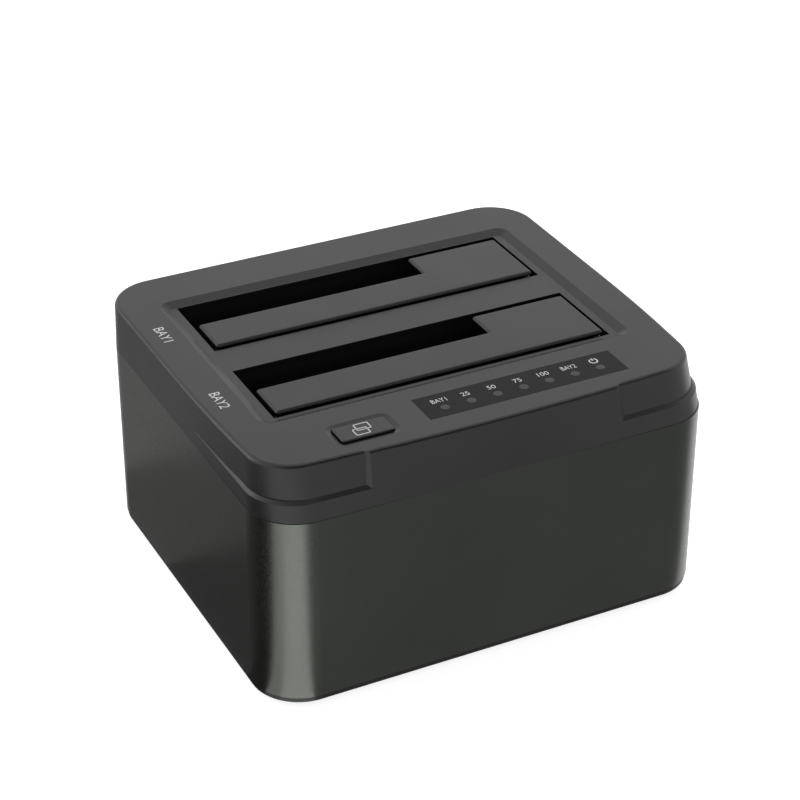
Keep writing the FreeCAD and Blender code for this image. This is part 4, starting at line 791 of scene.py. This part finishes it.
class DUPLICATOR_OT_flap_springs(bpy.types.Operator):
    """Wind each flap's torsion spring: a coil and foot that stay, and a leg under the flap."""

    bl_idname = "duplicator.flap_springs"
    bl_label = "Flap springs"

    def execute(self, context):
        sizes = context.scene.duplicator_springs
        for label, body in BAY_BODIES.items():
            pin = middle(f"{label}_flap_pin")
            coil = []
            for n in range(int(sizes.turns * COIL_STEPS) + 1):
                angle = 2 * math.pi * n / COIL_STEPS
                coil.append((sizes.start + sizes.pitch * n / COIL_STEPS,
                             pin.y - sizes.radius * math.cos(angle),
                             pin.z + sizes.radius * math.sin(angle)))
            foot = [(sizes.start, pin.y - sizes.radius, pin.z - reach) for reach in FOOT_REACH]
            wound = bent_wire(foot + coil, sizes.wire)
            settle(wound, f"{label}_spring_coil", FINISHES["spring_steel"], CASE)
            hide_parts(f"{label}_flap_spring")
            x, y, z = coil[-1]
            arm = bent_wire([(x, y + reach * math.cos(sizes.lean),
                              z + reach * math.sin(sizes.lean)) for reach in LEG_REACH],
                            sizes.wire)
            settle(arm, f"{label}_spring_leg", FINISHES["spring_steel"], body)
        return {"FINISHED"}


# ---------------------------------------------------------------- contacts

class DUPLICATOR_OT_drive_contacts(bpy.types.Operator):
    """Put a row of spring contacts into both slots of each drive connector."""

    bl_idname = "duplicator.drive_contacts"
    bl_label = "Drive contacts"

    def execute(self, context):
        sizes = context.scene.duplicator_contacts
        for label in BAY_BODIES:
            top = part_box(f"{label}_drive_connector")[1][2]
            centre = middle(f"{label}_drive_connector")
            tall = 5.6 * MM
            foot = top - 6.5 * MM
            deselect()
            bpy.ops.mesh.primitive_cube_add(size=1, location=(0, 0, 0))
            blade = bpy.context.object
            blade.data.transform(Matrix.Diagonal((sizes.width, sizes.thickness, tall, 1)))
            bpy.ops.object.mode_set(mode="EDIT")
            bpy.ops.mesh.select_all(action="SELECT")
            bpy.ops.mesh.subdivide(number_cuts=5)
            bpy.ops.object.mode_set(mode="OBJECT")
            # the blade bows out where a drive's tongue wipes over it
            for vertex in blade.data.vertices:
                share = vertex.co.z / tall + 0.5
                vertex.co.y -= 0.35 * MM * math.sin(math.pi * share) ** 2
            bevelled(blade, 0.04 * MM, 1)
            # the power slot's 15 contacts and the data slot's 7, about their slots' middles
            power = centre.x + 6.6 * MM
            data = centre.x - 12.0 * MM
            columns = [power + (n - 7) * sizes.pitch for n in range(15)]
            columns += [data + (n - 3) * sizes.pitch for n in range(7)]
            back = centre.y + 0.85 * MM
            blade.location = (columns[0], back, foot + tall / 2)
            whole = copies(blade, [(x - columns[0], 0, 0) for x in columns[1:]])
            settle(whole, f"{label}_drive_contacts", FINISHES["gold_contact"], CASE)
        return {"FINISHED"}


class DUPLICATOR_OT_port_contacts(bpy.types.Operator):
    """Lay the data port's contact strips on both sides of its tongue."""

    bl_idname = "duplicator.port_contacts"
    bl_label = "Port contacts"

    def execute(self, context):
        low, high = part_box("usb_port_tongue")
        centre = middle("usb_port_tongue")
        strip_long = 9.0 * MM
        deselect()
        bpy.ops.mesh.primitive_cube_add(size=1, location=(0, 0, 0))
        strip = bpy.context.object
        strip.data.transform(Matrix.Diagonal((1.1 * MM, strip_long, 0.16 * MM, 1)))
        bpy.ops.object.mode_set(mode="EDIT")
        bpy.ops.mesh.select_all(action="SELECT")
        bpy.ops.mesh.subdivide(number_cuts=3)
        bpy.ops.object.mode_set(mode="OBJECT")
        bevelled(strip, 0.04 * MM, 1)
        y = high[1] - 1.2 * MM - strip_long / 2
        lift = 0.07 * MM
        strip.location = (centre.x - 1.25 * MM, y, high[2] + lift)
        down = low[2] - high[2] - 2 * lift
        whole = copies(strip, [(2.5 * MM, 0, 0), (0, 0, down), (2.5 * MM, 0, down)])
        settle(whole, "data_port_contacts", FINISHES["gold_contact"], CASE)
        return {"FINISHED"}


# ---------------------------------------------------------------- finishing groups

class DUPLICATOR_OT_finish_case(bpy.types.Operator):
    """Finish the sleeve, cover, base, feet and outside screws."""

    bl_idname = "duplicator.finish_case"
    bl_label = "Finish the case"

    def execute(self, context):
        finish_nodes("sleeve", "top_cover", "base_plate", "rubber_feet", "case_screws")
        return {"FINISHED"}


class DUPLICATOR_OT_finish_bays(bpy.types.Operator):
    """Finish the wells, flaps, pins, springs and drive connectors."""

    bl_idname = "duplicator.finish_bays"
    bl_label = "Finish the bays"

    def execute(self, context):
        kinds = ("drive_well", "flap", "flap_pin", "flap_spring", "drive_connector")
        for label in BAY_BODIES:
            finish_nodes(*(f"{label}_{kind}" for kind in kinds))
        return {"FINISHED"}


class DUPLICATOR_OT_finish_panel(bpy.types.Operator):
    """Finish the button, switch, window, light guide, lights and control board."""

    bl_idname = "duplicator.finish_panel"
    bl_label = "Finish the control panel"

    def execute(self, context):
        finish_nodes("copy_button", "copy_switch", "copy_switch_plunger", "status_window",
                     "light_guide", "status_lights", "control_board", "panel_screws")
        return {"FINISHED"}


class DUPLICATOR_OT_finish_inside(bpy.types.Operator):
    """Finish the main board, what it carries, and the ports and switch at the back."""

    bl_idname = "duplicator.finish_inside"
    bl_label = "Finish the electronics"

    def execute(self, context):
        finish_nodes("main_board", "board_screws", "well_screws", "bridge_chips",
                     "copy_controller", "filter_capacitors", "power_coils", "clock_crystal",
                     "usb_port_shell", "usb_port_tongue", "power_jack_body", "power_jack_pin",
                     "power_switch_housing", "power_rocker", "switch_terminals")
        return {"FINISHED"}


# ---------------------------------------------------------------- stage

CAMERA_PLACE = Vector((-0.2603, -0.5129, 0.3894))
CAMERA_TURN, CAMERA_RISE, CAMERA_ROLL = (math.radians(angle) for angle in (26.873, 30.565, 0.204))
# a black flag high in front, which keeps the cover's front edges and ledge dark
FRONT_FLAG = ((-0.8, -0.36, 1.26), (1.0, -0.36, 1.26), (-0.8, -1.14, 0.64), (1.0, -1.14, 0.64))
# grey cards on the floor: the upright walls mirror them, darker towards the front on the left.
# Each has its left, right, front and rear bounds and its glow, where 1 is white.
FLOOR_CARDS = {
    "front_card": (-0.0686, 0.5, -0.6, -0.061, 0.33),
    "left_front_card": (-0.5, -0.069, -0.05, 0.02, 0.1),
    "left_middle_card": (-0.5, -0.069, 0.02, 0.075, 0.2),
    "left_rear_card": (-0.5, -0.069, 0.075, 0.6, 0.36),
}
CARD_HEIGHT = 0.4 * MM
# wedges that fan out from the front left corner, between two bearings from the front to the
# left: a bright one for the sheen down the corner, and a dark one beside it
FLOOR_WEDGES = {"corner_card": (6, 50, 2.0), "corner_flag": (72, 112, 0.06)}
WEDGE_CENTRE = Vector((-54.2 * MM, -45.9 * MM, 0.8 * MM))
WEDGE_NEAR, WEDGE_FAR = 0.014, 0.5


def area_light(name, power, wide, high, place, target):
    """A soft rectangular light that points at a place."""
    lamp = bpy.data.lights.new(name, "AREA")
    lamp.shape = "RECTANGLE"
    lamp.size, lamp.size_y = wide, high
    lamp.energy = power
    holder = bpy.data.objects.new(name, lamp)
    bpy.context.collection.objects.link(holder)
    holder.location = place
    way = Vector(target) - Vector(place)
    holder.rotation_euler = way.to_track_quat("-Z", "Y").to_euler()
    return holder


def shown_or_mirrored(tree):
    """1 for rays from the camera or off something glossy or clear, and 0 for the rest."""
    path = add(tree, "ShaderNodeLightPath")
    mirrored = add(tree, "ShaderNodeMath", {0: path.outputs["Is Glossy Ray"],
                                            1: path.outputs["Is Transmission Ray"]},
                   operation="MAXIMUM")
    return add(tree, "ShaderNodeMath", {0: mirrored.outputs[0],
                                        1: path.outputs["Is Camera Ray"]},
               operation="MAXIMUM").outputs[0]


def white_surroundings(strength):
    """A grey world for the light that shows white to the camera and in reflections."""
    world = bpy.data.worlds.new("studio")
    bpy.context.scene.world = world
    world.use_nodes = True
    tree = world.node_tree
    tree.nodes.clear()
    soft = add(tree, "ShaderNodeBackground", {"Color": (1, 1, 1, 1), "Strength": strength})
    white = add(tree, "ShaderNodeBackground", {"Color": (1, 1, 1, 1), "Strength": 1.0})
    mix = add(tree, "ShaderNodeMixShader", {0: shown_or_mirrored(tree), 1: soft.outputs[0],
                                            2: white.outputs[0]})
    add(tree, "ShaderNodeOutputWorld", {"Surface": mix.outputs[0]})


def floor_paper():
    """Matt paper that shows white, with the faint shadow of what stands on it."""
    material = bpy.data.materials.new("white_studio_paper")
    material.use_nodes = True
    tree = material.node_tree
    tree.nodes.clear()
    pale = add(tree, "ShaderNodeBsdfDiffuse", {"Color": rgba(linear("#e9e9e9"))})
    glow = add(tree, "ShaderNodeEmission", {"Color": (1, 1, 1, 1), "Strength": 0.82})
    both = add(tree, "ShaderNodeAddShader", {0: pale.outputs[0], 1: glow.outputs[0]})
    dull = add(tree, "ShaderNodeBsdfDiffuse", {"Color": rgba(linear("#a4a4a4"))})
    mix = add(tree, "ShaderNodeMixShader", {0: shown_or_mirrored(tree), 1: dull.outputs[0],
                                            2: both.outputs[0]})
    add(tree, "ShaderNodeOutputMaterial", {"Surface": mix.outputs[0]})
    return material


def reflected_card(name, corners, glow):
    """A four-cornered card that only reflections see; glow 0 makes it black."""
    deselect()
    bpy.ops.mesh.primitive_plane_add(size=1, location=(0, 0, 0))
    card = bpy.context.object
    card.name = name
    for vertex, corner in zip(card.data.vertices, corners):
        vertex.co = corner
    for sight in ("camera", "diffuse", "shadow"):
        setattr(card, "visible_" + sight, False)
    material = bpy.data.materials.new(name + "_face")
    material.use_nodes = True
    tree = material.node_tree
    tree.nodes.clear()
    face = add(tree, "ShaderNodeEmission", {"Color": (1, 1, 1, 1), "Strength": glow})
    add(tree, "ShaderNodeOutputMaterial", {"Surface": face.outputs[0]})
    card.data.materials.append(material)


def floor_wedge(name, first, last, glow):
    """A card on the floor that fans out from the front left corner between two bearings."""
    ways = [Vector((-math.sin(math.radians(angle)), -math.cos(math.radians(angle)), 0))
            for angle in (first, last)]
    reflected_card(name, [WEDGE_CENTRE + way * reach for reach in (WEDGE_NEAR, WEDGE_FAR)
                          for way in ways], glow)


def floor_card(name, left, right, front, rear, glow):
    """A rectangular card on the floor."""
    reflected_card(name, [(x, y, CARD_HEIGHT) for y in (front, rear) for x in (left, right)],
                   glow)


class DUPLICATOR_OT_stage(bpy.types.Operator):
    """Lay the floor and set up the lights and the camera."""

    bl_idname = "duplicator.stage"
    bl_label = "Stage"

    def execute(self, context):
        stage = context.scene.duplicator_stage
        scene = context.scene
        scene.view_settings.view_transform = "Standard"
        deselect()
        bpy.ops.mesh.primitive_plane_add(size=8, location=(0, 0, 0))
        floor = context.object
        floor.name = "floor"
        floor.data.materials.append(floor_paper())
        white_surroundings(stage.world_strength)
        key = area_light("key", stage.key_power, 1.4, 1.2, (0.55, 0.7, 1.1), (0, 0, 0.04))
        key.visible_glossy = False
        area_light("left_side", stage.side_power, 0.6, 0.8, (-1.0, 0.7, 0.5), (0, 0, 0.03))
        reflected_card("front_flag", FRONT_FLAG, 0.0)
        for name, card in FLOOR_CARDS.items():
            floor_card(name, *card)
        for name, wedge in FLOOR_WEDGES.items():
            floor_wedge(name, *wedge)
        lens = bpy.data.cameras.new("camera")
        lens.sensor_width = 36.0
        lens.lens = 104.05
        lens.clip_start = 0.01
        camera = bpy.data.objects.new("camera", lens)
        scene.collection.objects.link(camera)
        turn, rise, roll = CAMERA_TURN, CAMERA_RISE, CAMERA_ROLL
        back = Vector((-math.sin(turn) * math.cos(rise), -math.cos(turn) * math.cos(rise),
                       math.sin(rise)))
        right = Vector((math.cos(turn), -math.sin(turn), 0))
        up = back.cross(right)
        across = right * math.cos(roll) + up * math.sin(roll)
        upward = up * math.cos(roll) - right * math.sin(roll)
        place = Matrix((across, upward, back)).transposed().to_4x4()
        place.translation = CAMERA_PLACE
        camera.matrix_world = place
        scene.camera = camera
        return {"FINISHED"}


# ---------------------------------------------------------------- panel and registration

PIECES = (DUPLICATOR_OT_finish_case, DUPLICATOR_OT_finish_bays, DUPLICATOR_OT_finish_panel,
          DUPLICATOR_OT_finish_inside, DUPLICATOR_OT_flaps, DUPLICATOR_OT_flap_springs,
          DUPLICATOR_OT_bay_marks, DUPLICATOR_OT_light_marks,
          DUPLICATOR_OT_standby_mark, DUPLICATOR_OT_button_mark, DUPLICATOR_OT_light_lenses,
          DUPLICATOR_OT_drive_contacts, DUPLICATOR_OT_port_contacts)
SETTINGS = {"duplicator_look": LookSettings, "duplicator_marks": MarkSettings,
            "duplicator_flaps": FlapSettings,
            "duplicator_springs": SpringSettings, "duplicator_contacts": ContactSettings,
            "duplicator_stage": StageSettings}


class DUPLICATOR_PT_pieces(bpy.types.Panel):
    """The settings and steps of the duplicator, in the sidebar."""

    bl_idname = "DUPLICATOR_PT_pieces"
    bl_label = "Drive duplicator"
    bl_space_type = "VIEW_3D"
    bl_region_type = "UI"
    bl_category = "Duplicator"

    def draw(self, context):
        for name, group in SETTINGS.items():
            box = self.layout.box()
            for field in group.__annotations__:
                box.prop(getattr(context.scene, name), field)
        for piece in (*PIECES, DUPLICATOR_OT_stage):
            self.layout.operator(piece.bl_idname)


CLASSES = (*SETTINGS.values(), *PIECES, DUPLICATOR_OT_stage, DUPLICATOR_PT_pieces)


def register():
    for item in CLASSES:
        bpy.utils.register_class(item)
    for name, group in SETTINGS.items():
        setattr(bpy.types.Scene, name, PointerProperty(type=group))


def unregister():
    for name in SETTINGS:
        delattr(bpy.types.Scene, name)
    for item in reversed(CLASSES):
        bpy.utils.unregister_class(item)


def main():
    register()
    FINISHES.update(make_finishes(bpy.context.scene.duplicator_look))
    for piece in (*PIECES, DUPLICATOR_OT_stage):
        group, step = piece.bl_idname.split(".")
        getattr(getattr(bpy.ops, group), step)()


if __name__ == "__main__":
    main()
